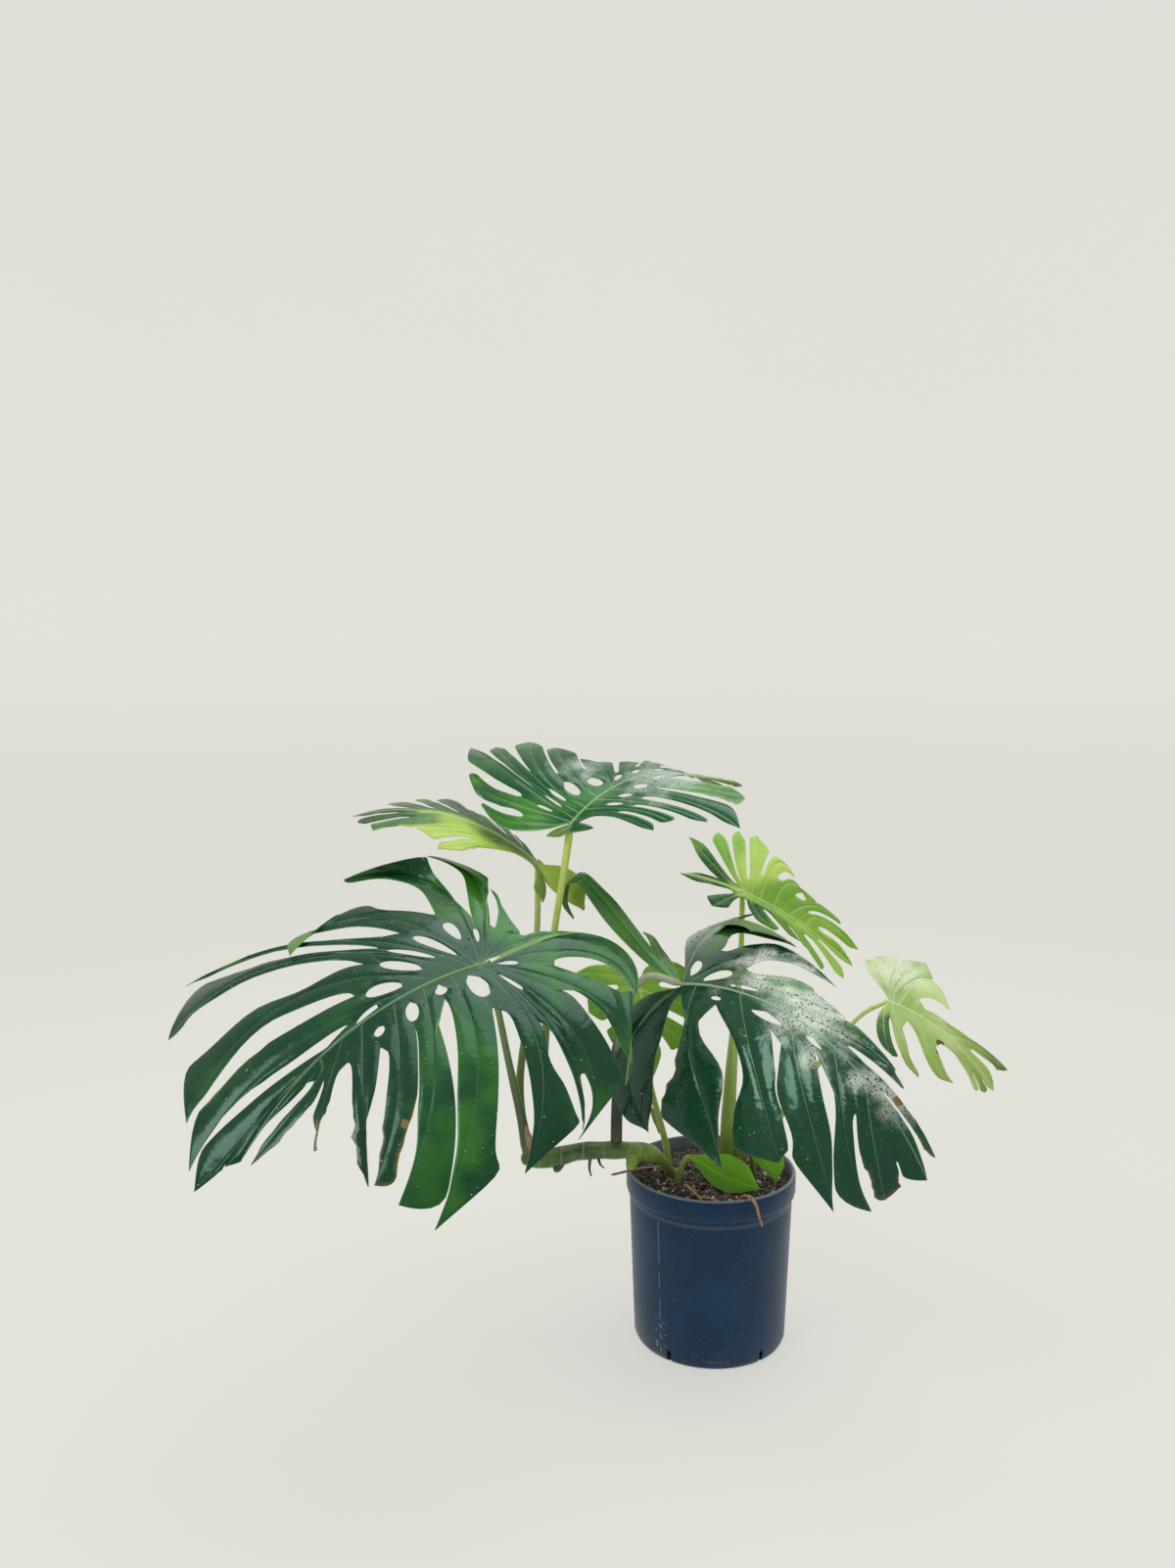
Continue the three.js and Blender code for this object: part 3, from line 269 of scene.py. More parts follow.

# %% [markdown]
# ## The leaf's form
# A grown leaf of this plant is one sheet with a midrib, veins that leave it at both sides, and splits
# between the veins that begin at a hole or at the margin. It could be sculpted or cut out of a plane,
# but the splits follow a rule: each lobe owns the ground half way to its neighbours. So a table gives
# each vein's root, middle and tip, and the sheet is laid out from those.

# %% The leaf's surface
def leaf_surface(pose, a, b, lift):
    """Places leaf coordinates in space: a along the midrib, b across it, lift off the sheet.

    The pose gives angles in degrees, and bends, twists and curls in degrees per 100 mm.
    """
    heading = pose["heading"] * DEGREES
    start_pitch = pose["pitch"] * DEGREES
    bend = pose["bend"] * DEGREES / 100
    forward = np.array([math.cos(heading), math.sin(heading), 0.0])
    leftward = np.array([-math.sin(heading), math.cos(heading), 0.0])
    upward = np.array([0.0, 0.0, 1.0])

    def on_surface(a, b):
        pitch = start_pitch - bend * a
        along = (math.sin(start_pitch) - np.sin(pitch)) / bend
        rise = (np.cos(pitch) - math.cos(start_pitch)) / bend
        centre = np.array(pose["start"], float) + along[:, None] * forward + rise[:, None] * upward
        up = -np.sin(pitch)[:, None] * forward + np.cos(pitch)[:, None] * upward
        roll = ((pose["roll"] + pose["twist"] * a / 100) * DEGREES)[:, None]
        left = np.cos(roll) * leftward + np.sin(roll) * up
        normal = np.cos(roll) * up - np.sin(roll) * leftward
        slope, turn = [np.where(b >= 0, pose["left_half"][k], pose["right_half"][k]) * DEGREES
                       for k in (0, 1)]
        turn = turn / 100
        reach = slope - turn * np.abs(b)
        across = (np.sin(slope) - np.sin(reach)) / turn
        arch = (np.cos(reach) - np.cos(slope)) / turn
        return centre + (np.sign(b) * across)[:, None] * left + arch[:, None] * normal

    half = 0.5
    along_a = on_surface(a + half, b) - on_surface(a - half, b)
    along_b = on_surface(a, b + half) - on_surface(a, b - half)
    normal = np.cross(along_a, along_b)
    normal /= np.linalg.norm(normal, axis=1)[:, None]
    return on_surface(a, b) + normal * lift[:, None]


# %% Lobes and rows
def lobe(root, middle, tip, split=0.3, gap=0.15, lift=0, hole=None):
    """One lobe: where its vein starts, its middle and tip, and the split towards the next lobe."""
    return {"root": root, "middle": middle, "tip": tip, "split": split, "gap": gap, "lift": lift,
            "hole": hole or [0.3 * split, 0.65 * split, 0]}


# Shares of a vein's length; a pair is a start and an end.
USUAL_HOLE = (0.10, 0.22)
USUAL_SPLIT = 0.33
LIFT_START = 0.22
QUILT_START = (0.02, 0.2)
TONE_START = (0.05, 0.4)
BROWN_START = (0.5, 0.9)

# Shares of a split's length: its round end, and up to where both banks keep one height.
SPLIT_ROUND_END = 0.12
SHARED_HEIGHT_END = 0.35

# Shares of the ground between two veins.
LEAST_SPLIT = 0.06
WIDEST_PULL = 0.95

# Where the wave and the tears begin along a split, how many tears there are, and how brown they turn.
WAVE_START = (0.1, 0.5)
TEAR_START = (0.3, 0.6)
TEARS = 9
BROWN_PER_TEAR = 1.8

# Where a lobe starts to close towards its tip, and how suddenly.
OWN_TIP = (0.75, 2.4)
NEXT_TIP = (0.86, 2.4)
LAST_TIP = (0.5, 1.6)

# The midrib: how fast it tapers, and its half width as a share of the rib's.
RIB_TAPER = 0.7
RIB_ROLL = 0.55

# Millimetres.
TIP_ROOT_BEYOND_LAST = 12
USUAL_QUILT = 1.6
QUILT_FULL_WIDTH = 30
MARGIN_WAVE = 1.8
MARGIN_WAVE_LENGTH = 34
RIB_EDGE_BLEND = 0.3
FAR_FROM_VEIN = 9.0
FAR_FROM_RIM = 20.0

# Rows of points along a lobe, by zone, and columns from its vein to its margin.
SPLIT_START = (0.01, 0.03, 0.06, 0.09, 0.12)
SPLIT_MIDDLE = tuple(0.12 + 0.60 * k / 10 for k in range(1, 11))
SPLIT_END = (0.77, 0.82, 0.86, 0.89, 0.92, 0.945, 0.965, 0.98, 0.992, 1.0)
LOBE_ROWS = ([("web", 0.0), ("web", 0.5)]
             + [("hole", (1 - math.cos(math.pi * k / 9)) / 2) for k in range(10)]
             + [("neck", 0.5), ("neck", 1.0)]
             + [("split", u) for u in SPLIT_START + SPLIT_MIDDLE + SPLIT_END])
LOBE_COLUMNS = (0.0, 0.04, 0.10, 0.22, 0.40, 0.60, 0.78, 0.91, 1.0)
print("half a lobe:", len(LOBE_ROWS), "rows of", len(LOBE_COLUMNS), "points")


def tell(name, leaf):
    """Prints how large a leaf is and how many lobes it has."""
    print(f"{name}: {leaf['length']} mm, {len(leaf['left'])} lobes left, {len(leaf['right'])} right")


def place_on_vein(row, hole, split):
    """How far along the vein a row is, between the hole and the split of its bay."""
    zone, u = row
    if zone == "web":
        return hole[0] * u
    if zone == "hole":
        return mix(hole[0], hole[1], u)
    if zone == "neck":
        return mix(hole[1], split, u)
    return mix(split, 1, u)


def bank_at(gap, bank, u):
    """The open share beside one bank of a split; the own bank makes room where the next one bulges."""
    pair = gap if isinstance(gap, list) else [gap, gap]
    shares = [profile_at(share, u) if isinstance(share, list) else share for share in pair]
    return max(shares[0], LEAST_SPLIT - shares[1]) if bank == 0 else shares[1]


def ragged_line(place, seed):
    """A torn line: 0 to 1, the same for the same place and seed."""
    return 0.5 + 0.5 * noise.fractal(Vector((place, seed * 7.3, 1.7)), 0.7, 2.1, 4)


# %% One half of a leaf
def rib_at(leaf, a):
    """The midrib's centre and half width at a distance from the foot of the blade."""
    along = clamp01(a / leaf["length"])
    return leaf["bow"] * 4 * along * (1 - along), leaf["rib"] * (1 - along) ** RIB_TAPER


def lay_out_half(leaf, side, sheet):
    """Adds the strips of one half to the sheet and returns the points along its midrib."""
    sign = 1 if side == "left" else -1
    lobes = leaf[side]
    count = len(lobes)
    length = leaf["length"]
    ragged = leaf["ragged"].get(side, {})
    tones = leaf["tones"].get(side, {})
    whole_tone = leaf["tones"].get("whole", 0.0)

    def rib_edge(a):
        """The midrib's edge on this half."""
        centre, half_width = rib_at(leaf, a)
        return np.array([a, centre + sign * half_width])

    def off_rib(place):
        """How far a place is from the midrib, as a share of the midrib's own half width there."""
        centre, half_width = rib_at(leaf, place[0])
        return abs(place[1] - centre) / (RIB_ROLL * half_width + RIB_EDGE_BLEND)

    def vein(i, s):
        """A place on a lobe's vein; the vein after the last lobe is the midrib itself."""
        if i >= count:
            return rib_edge(mix(lobes[-1]["root"] + TIP_ROOT_BEYOND_LAST, length, s))
        root = rib_edge(lobes[i]["root"])
        middle = np.array(lobes[i]["middle"], float) * (1, sign)
        tip = np.array(lobes[i]["tip"], float) * (1, sign)
        control = 2 * middle - (root + tip) / 2
        return (1 - s) ** 2 * root + 2 * s * (1 - s) * control + s * s * tip

    def lift_of(i, s):
        """How far a vein is off the leaf's surface there."""
        return (lobes[i]["lift"] if i < count else 0) * clamp01((s - LIFT_START) / (1 - LIFT_START)) ** 2

    def outer_margin(s):
        """The first lobe's free margin, outside its vein."""
        here = vein(0, s)
        direction = vein(0, min(s + 0.01, 1)) - vein(0, max(s - 0.01, 0))
        outward = np.array([-direction[1], direction[0]]) / np.linalg.norm(direction)
        if np.dot(vein(1, s) - here, outward) > 0:
            outward = -outward
        return here + outward * profile_at(leaf[side + "_margin"], s)

    def bank(bay, own, row):
        """A strip's outer point, its lift, and whether it is a free edge."""
        if bay < 0:
            spot = place_on_vein(row, USUAL_HOLE, USUAL_SPLIT)
            return outer_margin(spot), lift_of(0, spot), True
        zone, u = row
        spot = place_on_vein(row, lobes[bay]["hole"], lobes[bay]["split"])
        pull, shared, free = 0.0, 1.0, False
        if zone == "hole":
            pull = lobes[bay]["hole"][2] * math.sqrt(max(0.0, 1 - (2 * u - 1) ** 2))
            free = pull > 0
        if zone == "split":
            opening = math.sqrt(1 - (1 - min(u / SPLIT_ROUND_END, 1)) ** 2)
            own_end = OWN_TIP if own == bay else NEXT_TIP
            end_start, end_power = LAST_TIP if own >= count else own_end
            closing = clamp01((u - end_start) / (1 - end_start)) ** end_power
            open_share = min(bank_at(lobes[bay]["gap"], 0 if own == bay else 1, u), WIDEST_PULL)
            torn = ragged.get(own, 0) * ease(u, *TEAR_START) * ragged_line(u * TEARS, own + 20 * bay)
            open_share = min(open_share + torn, max(open_share, WIDEST_PULL))
            pull = mix(open_share * opening, 1, closing)
            shared = 1 - clamp01(u / SHARED_HEIGHT_END)
            free = True
        own_vein = vein(own, spot)
        middle = (vein(bay, spot) + vein(bay + 1, spot)) / 2
        mean_lift = (lift_of(bay, spot) + lift_of(bay + 1, spot)) / 2
        return mix(middle, own_vein, pull), mix(lift_of(own, spot), mean_lift, shared), free

    def lay_strip(bay, own):
        """Adds one strip's points, from a vein out to the middle of the bay or to the margin."""
        is_lobe = own < count
        brown = min(1.0, BROWN_PER_TEAR * ragged.get(own, 0))
        tone = tones.get(own, whole_tone)
        vein_length = np.linalg.norm(vein(own, 1) - vein(own, 0))
        wave_row = own + 0.4 * (own == bay)
        strip = []
        for row in LOBE_ROWS:
            spot = place_on_vein(row, USUAL_HOLE, USUAL_SPLIT)
            inner = vein(own, spot)
            inner_lift = lift_of(own, spot)
            outer, outer_lift, free = bank(bay, own, row)
            reach = np.linalg.norm(outer - inner)
            wave_place = Vector((spot * vein_length / MARGIN_WAVE_LENGTH, wave_row, sign * 2.0))
            wave = MARGIN_WAVE * noise.noise(wave_place) * ease(row[1], *WAVE_START)
            wave = wave if row[0] == "split" else 0.0
            quilt = USUAL_QUILT * min(reach / QUILT_FULL_WIDTH, 1) * ease(spot, *QUILT_START)
            row_values = {
                "along": spot * vein_length,
                "tone": mix(whole_tone, tone, ease(spot, *TONE_START)),
                "torn": brown * ease(spot, *BROWN_START),
                "stout": 1 - spot if is_lobe else 0.0,
            }
            across = []
            for t in LOBE_COLUMNS:
                place = mix(inner, outer, t)
                to_margin = (1 - t) * reach if free else FAR_FROM_RIM
                across.append(sheet.point(
                    place,
                    mix(inner_lift, outer_lift, t) + quilt * math.sin(math.pi * t) + wave * t * t,
                    away=t * reach if is_lobe else FAR_FROM_VEIN,
                    rim=min(to_margin, (1 - spot) * vein_length),
                    rib=off_rib(place),
                    tipward=clamp01(place[0] / length),
                    **row_values))
            strip.append(across)
        return strip

    entries = []
    for bay in range(-1, count):
        for own in (bay, bay + 1):
            if own < 0:
                continue
            strip = lay_strip(bay, own)
            flip = (own == bay) == (sign > 0)
            for j in range(len(strip) - 1):
                for k in range(len(LOBE_COLUMNS) - 1):
                    corners = [strip[j][k], strip[j + 1][k], strip[j + 1][k + 1], strip[j][k + 1]]
                    sheet.face(corners[::-1] if flip else corners)
            base = strip[0] if own == bay else strip[0][::-1]
            entries += [strip[0][0]] if bay < 0 else base
    entries += [row[0] for row in strip]
    return [e for k, e in enumerate(entries) if k == 0 or e != entries[k - 1]]


# %% A sheet that becomes a thin solid
class Sheet:
    """Points in leaf coordinates with their attributes, and the faces between them."""

    def __init__(self):
        self.places = []
        self.values = []
        self.faces = []
        self.known = {}

    def point(self, place, lift, **values):
        key = (round(place[0], 2), round(place[1], 2), round(lift, 2))
        if key not in self.known:
            self.known[key] = len(self.places)
            self.places.append((place[0], place[1], lift))
            self.values.append(values)
        return self.known[key]

    def face(self, corners):
        distinct = [c for k, c in enumerate(corners) if c != corners[k - 1]]
        if len(set(distinct)) >= 3:
            self.faces.append(distinct)

    def attribute(self, name):
        return np.array([entry[name] for entry in self.values], float)


def thicken(points, faces, above, below):
    """Gives a sheet two faces and a rim; returns points, faces and 0 or 1 for the underside."""
    points = np.asarray(points, float)
    normals = np.zeros_like(points)
    edge_use = {}
    for face in faces:
        corner = points[face]
        area = sum(np.cross(corner[k] - corner[0], corner[k + 1] - corner[0])
                   for k in range(1, len(face) - 1))
        normals[face] += area
        for k, start in enumerate(face):
            end = face[(k + 1) % len(face)]
            key = (min(start, end), max(start, end))
            edge_use[key] = None if key in edge_use else (start, end)
    sizes = np.linalg.norm(normals, axis=1)[:, None]
    normals /= np.where(sizes > 0, sizes, 1)
    count = len(points)
    both = np.vstack([points + normals * above[:, None], points - normals * below[:, None]])
    solid = [list(face) for face in faces] + [[c + count for c in reversed(face)] for face in faces]
    for edge in edge_use.values():
        if edge:
            start, end = edge
            solid.append([end, start, start + count, end + count])
    return both, solid, np.repeat([0.0, 1.0], count)


# %% [markdown]
# The midrib is a roll of its own along the sheet: low above, strong and round below, as on the real
# leaf. The veins of the lobes are only a thickening of the sheet, because they are so slight.

# %% The midrib and the whole blade
BLADE_HALF = 0.4
VEIN_ABOVE = 0.12
VEIN_BELOW = 0.9
VEIN_WIDTH = 0.4
VEIN_WIDER_AT_ROOT = 1.5
MIDRIB_ABOVE = 0.9
MIDRIB_BELOW = 3.0
MIDRIB_START = -6
MIDRIB_END = 0.985
MIDRIB_TAPER = 0.8


def rib_roll(pose, leaf, steps=70, around=12):
    """The midrib: a low ridge above the sheet and a strong round one below it."""
    rings = []
    for a in np.linspace(MIDRIB_START, leaf["length"] * MIDRIB_END, steps):
        centre, half_width = rib_at(leaf, a)
        taper = (1 - clamp01(a / leaf["length"])) ** MIDRIB_TAPER
        for k in range(around):
            angle = 2 * math.pi * k / around
            height = math.sin(angle)
            swell = MIDRIB_ABOVE if height > 0 else MIDRIB_BELOW
            lift = height * (swell * taper + BLADE_HALF)
            rings.append((a, centre + RIB_ROLL * half_width * math.cos(angle), lift))
    places = np.array(rings)
    faces = []
    for i in range(steps - 1):
        for k in range(around):
            a, b = i * around + k, i * around + (k + 1) % around
            faces.append([a, a + around, b + around, b])
    faces.append(list(range(around)))
    faces.append([(steps - 1) * around + k for k in reversed(range(around))])
    values = flat_values(len(places), rib=0.0, under=(places[:, 2] < 0).astype(float),
                         tipward=np.clip(places[:, 0] / leaf["length"], 0, 1))
    return leaf_surface(pose, *places.T), faces, values


def close_middle(sheet, left, right):
    """Fills the strip between the two halves, whose inner points follow the midrib."""
    i = j = 0
    a_of = [place[0] for place in sheet.places]
    while i < len(left) - 1 or j < len(right) - 1:
        left_is_next = i < len(left) - 1 and (
            j == len(right) - 1 or a_of[left[i + 1]] <= a_of[right[j + 1]])
        if left_is_next:
            sheet.face([right[j], left[i + 1], left[i]])
            i += 1
        else:
            sheet.face([right[j], right[j + 1], left[i]])
            j += 1


def build_leaf(name, pose, leaf, straps=()):
    """The whole blade with its midrib, and any straps that grow from it, as one mesh object."""
    sheet = Sheet()
    left = lay_out_half(leaf, "left", sheet)
    right = lay_out_half(leaf, "right", sheet)
    close_middle(sheet, left, right)
    points = leaf_surface(pose, *np.array(sheet.places).T)
    stout = sheet.attribute("stout")
    vein_width = VEIN_WIDER_AT_ROOT * stout + VEIN_WIDTH
    near_vein = np.exp(-(sheet.attribute("away") / vein_width) ** 2) * stout
    solid, faces, under = thicken(points, sheet.faces, BLADE_HALF + VEIN_ABOVE * near_vein,
                                  BLADE_HALF + VEIN_BELOW * near_vein)
    values = {key: np.tile(sheet.attribute(key), 2) for key in sheet.values[0]}
    values["under"] = under
    parts = [(solid, faces, values), rib_roll(pose, leaf)]
    return join_parts(name, parts + [strap_parts(strap) for strap in straps])


def flat_values(count, **given):
    """Attribute rows for points that lie outside the lobed sheet."""
    usual = {"away": FAR_FROM_VEIN, "rim": FAR_FROM_RIM, "rib": FAR_FROM_RIM, "along": 0.0,
             "stout": 0.0, "torn": 0.0, "tone": 0.0, "tipward": 0.5, "under": 0.0}
    return {key: np.broadcast_to(value, count) for key, value in {**usual, **given}.items()}


def join_parts(name, parts):
    """One object from several point, face and value sets."""
    all_points, all_faces, start = [], [], 0
    for points, faces, _ in parts:
        all_points.append(points)
        all_faces += [[c + start for c in face] for face in faces]
        start += len(points)
    values = {key: np.concatenate([part[2][key] for part in parts]) for key in parts[0][2]}
    return make_object(name, np.vstack(all_points), all_faces, values, sharp_angle=50)


# %% [markdown]
# Narrow lobes that turn away, sheaths and folded young blades don't follow the leaf's surface. Each
# is a strap: a row of points across a path, with a width for each side, cupped like a gutter.

# %% Straps
STRAP_COLUMNS = 13
STRAP_ROWS = 46
STRAP_WAVES = 17
STRAP_WAVE = 0.6
LEAST_STRAP_WIDTH = 0.4


def strap_parts(strap):
    """A narrow blade along a path, cupped across, with its own midvein."""
    path, tangents, length = even_path(strap["points"], STRAP_ROWS)
    side = np.array(strap["side"], float)
    points, values, faces = [], [], []
    for i, (centre, tangent) in enumerate(zip(path, tangents)):
        t = i / (STRAP_ROWS - 1)
        left = side - tangent * np.dot(side, tangent)
        left /= np.linalg.norm(left)
        normal = np.cross(tangent, left)
        for k in range(STRAP_COLUMNS):
            w = 2 * k / (STRAP_COLUMNS - 1) - 1
            widths = strap["right_widths"] if w < 0 else strap["left_widths"]
            width = max(LEAST_STRAP_WIDTH, profile_at(widths, t))
            wave = STRAP_WAVE * w * w * math.sin(t * STRAP_WAVES + 2 * w)
            dish = strap.get("cup", 0) * w * w * width
            points.append(centre + left * w * width + normal * (dish + wave))
            values.append((abs(w) * width, t * length, (1 - abs(w)) * width, 1 - t))
    for i in range(STRAP_ROWS - 1):
        for k in range(STRAP_COLUMNS - 1):
            a = i * STRAP_COLUMNS + k
            faces.append([a, a + STRAP_COLUMNS, a + STRAP_COLUMNS + 1, a + 1])
    half = np.full(len(points), BLADE_HALF)
    solid, faces, under = thicken(points, faces, half, half)
    if strap.get("turned"):
        under = 1 - under
    rows = np.tile(np.array(values), (2, 1))
    given = dict(zip(("away", "along", "rim", "stout"), rows.T))
    return solid, faces, flat_values(len(solid), under=under, tone=strap.get("tone", 0.0), **given)

# %% [markdown]
# Next come the seven leaves, in the order of their nodes. A pose says where the blade starts, in
# millimetres, and how it heads, pitches, bends and rolls, in degrees. Each lobe gives the place on the
# midrib where its vein starts, the vein's middle and tip, where the split begins, how open the split
# is, how far the tip is lifted, and the hole before the split: its start, end and width.

# %% Big dark leaf on the left, nearest to the camera
POSE_A = {
    "start": [-334, -200, 649], "heading": 217, "pitch": -14, "bend": 7, "roll": -26, "twist": 0,
    "left_half": [6, 14], "right_half": [6, 12],
}
LEAF_A = {
    "length": 415, "bow": -22, "rib": 5, "left_margin": [0, 34, 42, 40, 22, 0],
    "right_margin": [0, 12, 14, 12, 6, 0],
    "right": [
        lobe(0, [-80, 10], [-132, -8], 0.45,
            [[0.7, 0.7, 0.8, 0.9, 0.9], [-0.7, 0.5, 0.9, 0.9, 0.9]], 6),
        lobe(2, [-65, 60], [-88, 125], 0.25,
            [[0.6, 0.7, 0.8, 0.9, 0.9], [0.1, 0.25, -0.2, -0.55, -0.9]], 10),
        lobe(4, [-86, 158], [-55, 240], 0.18,
            [[-0.1, 0.3, 0.7, 0.9, 0.9], [0.8, 0.7, 0.3, -0.3, -0.9]], 35, [0.07, 0.13, 0.4]),
        lobe(8, [-38, 214], [66, 246], 0.24,
            [[0.15, 0.55, 0.7, 0.75, 0.5], [0.2, 0.6, 0.3, 0.2, -0.3]], 46, [0.09, 0.18, 0.35]),
        lobe(14, [76, 201], [185, 203], 0.26,
            [[0.1, 0.2, 0, 0.5, 0.8], [0.5, 0.9, 0.7, 0.5, 0.6]], 8, [0.05, 0.21, 0.45]),
        lobe(24, [143, 200], [288, 365], 0.22,
            [[0.3, 0.6, 0.8, 0.85, 0.75], [0.5, 0.3, 0, -0.45, -0.8]], 5, [0.07, 0.19, 0.5]),
        lobe(42, [221, 234], [359, 256], 0.2,
            [[0.4, 0.65, 0.75, 0.8, 0.7], [0, 0.75, 0.55, 0.5, 0.1]], 0, [0.05, 0.16, 0.45]),
        lobe(80, [238, 130], [420, 102], 0.21,
            [[0.35, 0.45, 0.7, 0.55, 0.5], [0.1, 0.25, 0, -0.25, -0.8]], 0, [0.05, 0.17, 0.5]),
        lobe(120, [300, 65], [460, 50], 0.17,
            [[0.2, 0.2, 0.45, 0.9, 0.9], [0.8, 0.35, 0, -0.45, -1.1]], 0, [0.04, 0.12, 0.7]),
        lobe(175, [326, 19], [474, 26], 0.9, 0.03),
    ],
    "left": [
        lobe(0, [-150, 50], [-165, 145], 0.23,
            [[0.45, 0.65, 0.7, 0.75, 0.9], [0.2, 0.2, 0, -0.5, -1]], 0, [0.03, 0.1, 0.4]),
        lobe(4, [-110, 158], [-65, 255], 0.23,
            [[0.8, 0.75, 0.55, 0.8, 0.9], [-0.55, -0.1, -0.1, -0.4, -0.9]]),
        lobe(8, [-30, 195], [58, 285], 0.62,
            [[0.1, 0.6, 0.9, 0.85, 0.7], [0.7, 0.85, 0.9, 0.9, 0.6]], 0, [0.06, 0.16, 0.6]),
        lobe(11, [-5, 179], [43, 278], 0.34,
            [[0.8, 0.7, 0.75, 0.85, 0.9], [-0.3, 0.4, -0.2, -0.6, -1]]),
        lobe(15, [36, 170], [165, 278], 0.21,
            [[0.5, 0.5, 0.65, 0.85, 0.9], [0.15, 0.3, 0.3, 0.1, -0.5]], 0, [0.02, 0.15, 0.5]),
        lobe(55, [140, 156], [322, 250], 0.09,
            [[0.15, 0.1, 0.15, 0.7, 0.95], [0.8, 0.45, -0.05, -0.6, -1.1]], 0, [0.01, 0.065, 0.4]),
        lobe(97, [191, 125], [331, 198], 0.18,
            [[0.12, 0.12, 0.27, 0.8, 0.9], [-0.06, -0.06, -0.2, 0, -0.7]], 0, [0.03, 0.14, 0.4]),
        lobe(143, [224, 95], [333, 160], 0.2,
            [[0.45, 0.4, 0.15, 0.15, 0.6], [0.05, 0.3, 0.75, 0.9, 0.6]], 0, [0.07, 0.13, 0.3]),
        lobe(193, [268, 78], [340, 156], 0.2,
            [[0.3, 0.4, 0.35, 0.35, 0.6], [0.6, 0.7, 0.65, 0.75, 0.7]]),
        lobe(225, [299, 34], [351, 72], 0.34, [[0.3, 0.4, 0.35, 0.75, 0.8], [0, 0, 0.2, 0.35, 0.6]]),
        lobe(262, [299, 5], [411, 16], 0.32,
            [[0.8, 0.9, 0.5, 0.25, 0.4], [-0.35, 0.1, 0.85, 0.9, 0.9]]),
    ],
}
tell("leaf_a", LEAF_A)

# %% Top leaf
POSE_B = {
    "start": [-221, 0, 814], "heading": 32, "pitch": 45, "bend": 23.5, "roll": 18, "twist": -10,
    "left_half": [14, 12], "right_half": [-5, 6],
}
LEAF_B = {
    "length": 340, "bow": 0, "rib": 4.5, "left_margin": [0, 6, 10, 12, 8, 0],
    "right_margin": [0, 4, 5, 4, 2, 0],
    "left": [
        lobe(0, [-32, 72], [-32, 162], 0.36,
            [[0.35, 0.5, 0.5, 0.5], [0.35, 0.1, -0.1, -0.4]], 0, [0.1, 0.2, 0]),
        lobe(4, [-13, 150], [2, 250], 0.40,
            [[0.2, 0.4, 0.3, 0.1], [0.3, 0.1, -0.1, -0.5]], 8, [0.14, 0.26, 0.2]),
        lobe(12, [20, 124], [38, 320], 0.42, [[0.1, 0.2, 0.5, 0.7], 0.1], 34, [0.14, 0.32, 0.35]),
        lobe(24, [32, 130], [62, 285], 0.58, [[0.1, 0.4, 0.7], 0.05], 26, [0.16, 0.36, 0.5]),
        lobe(38, [46, 104], [96, 242], 0.50, [0.05, 0.2], 26, [0.14, 0.38, 0.5]),
        lobe(64, [78, 90], [114, 187], 0.60, 0.10, 14, [0.16, 0.40, 0.5]),
        lobe(96, [108, 30], [128, 88], 0.50, 0.20, 0, [0.18, 0.40, 0.5]),
        lobe(126, [146, 34], [184, 70], 0.50, 0.20, 0, [0.16, 0.34, 0.4]),
        lobe(160, [190, 40], [230, 84], 0.45, 0.20, 5, [0.16, 0.32, 0.4]),
        lobe(208, [238, 28], [278, 46], 0.40, 0.18, 0, [0.14, 0.28, 0.4]),
        lobe(255, [280, 14], [318, 24], 0.40, 0.20),
    ],
    "right": [
        lobe(0, [-6, 5], [-12, 9], 0.22, [0.30, 0.80]),
        lobe(12, [48, 50], [64, 128], 0.42, 0.25, 0, [0.14, 0.28, 0]),
        lobe(36, [80, 76], [94, 138], 0.36, 0.35, 0, [0.12, 0.26, 0.4]),
        lobe(60, [108, 96], [132, 186], 0.26, 0.40, 0, [0.10, 0.18, 0.4]),
        lobe(90, [146, 126], [158, 238], 0.22,
            [[0.1, 0.1, 0, -0.1], [0.3, 0.4, 0.3, 0.1]], 0, [0.08, 0.16, 0.5]),
        lobe(130, [179, 110], [214, 186], 0.20,
            [[0.1, 0.1, 0, 0.1], [0.7, 0.8, 0.7, 0.6]], 0, [0.08, 0.14, 0.5]),
        lobe(190, [230, 56], [256, 112], 0.26, 0.25, 0, [0.08, 0.18, 0.4]),
        lobe(250, [286, 30], [312, 56], 0.32, 0.30),
    ],
}
tell("leaf_b", LEAF_B)

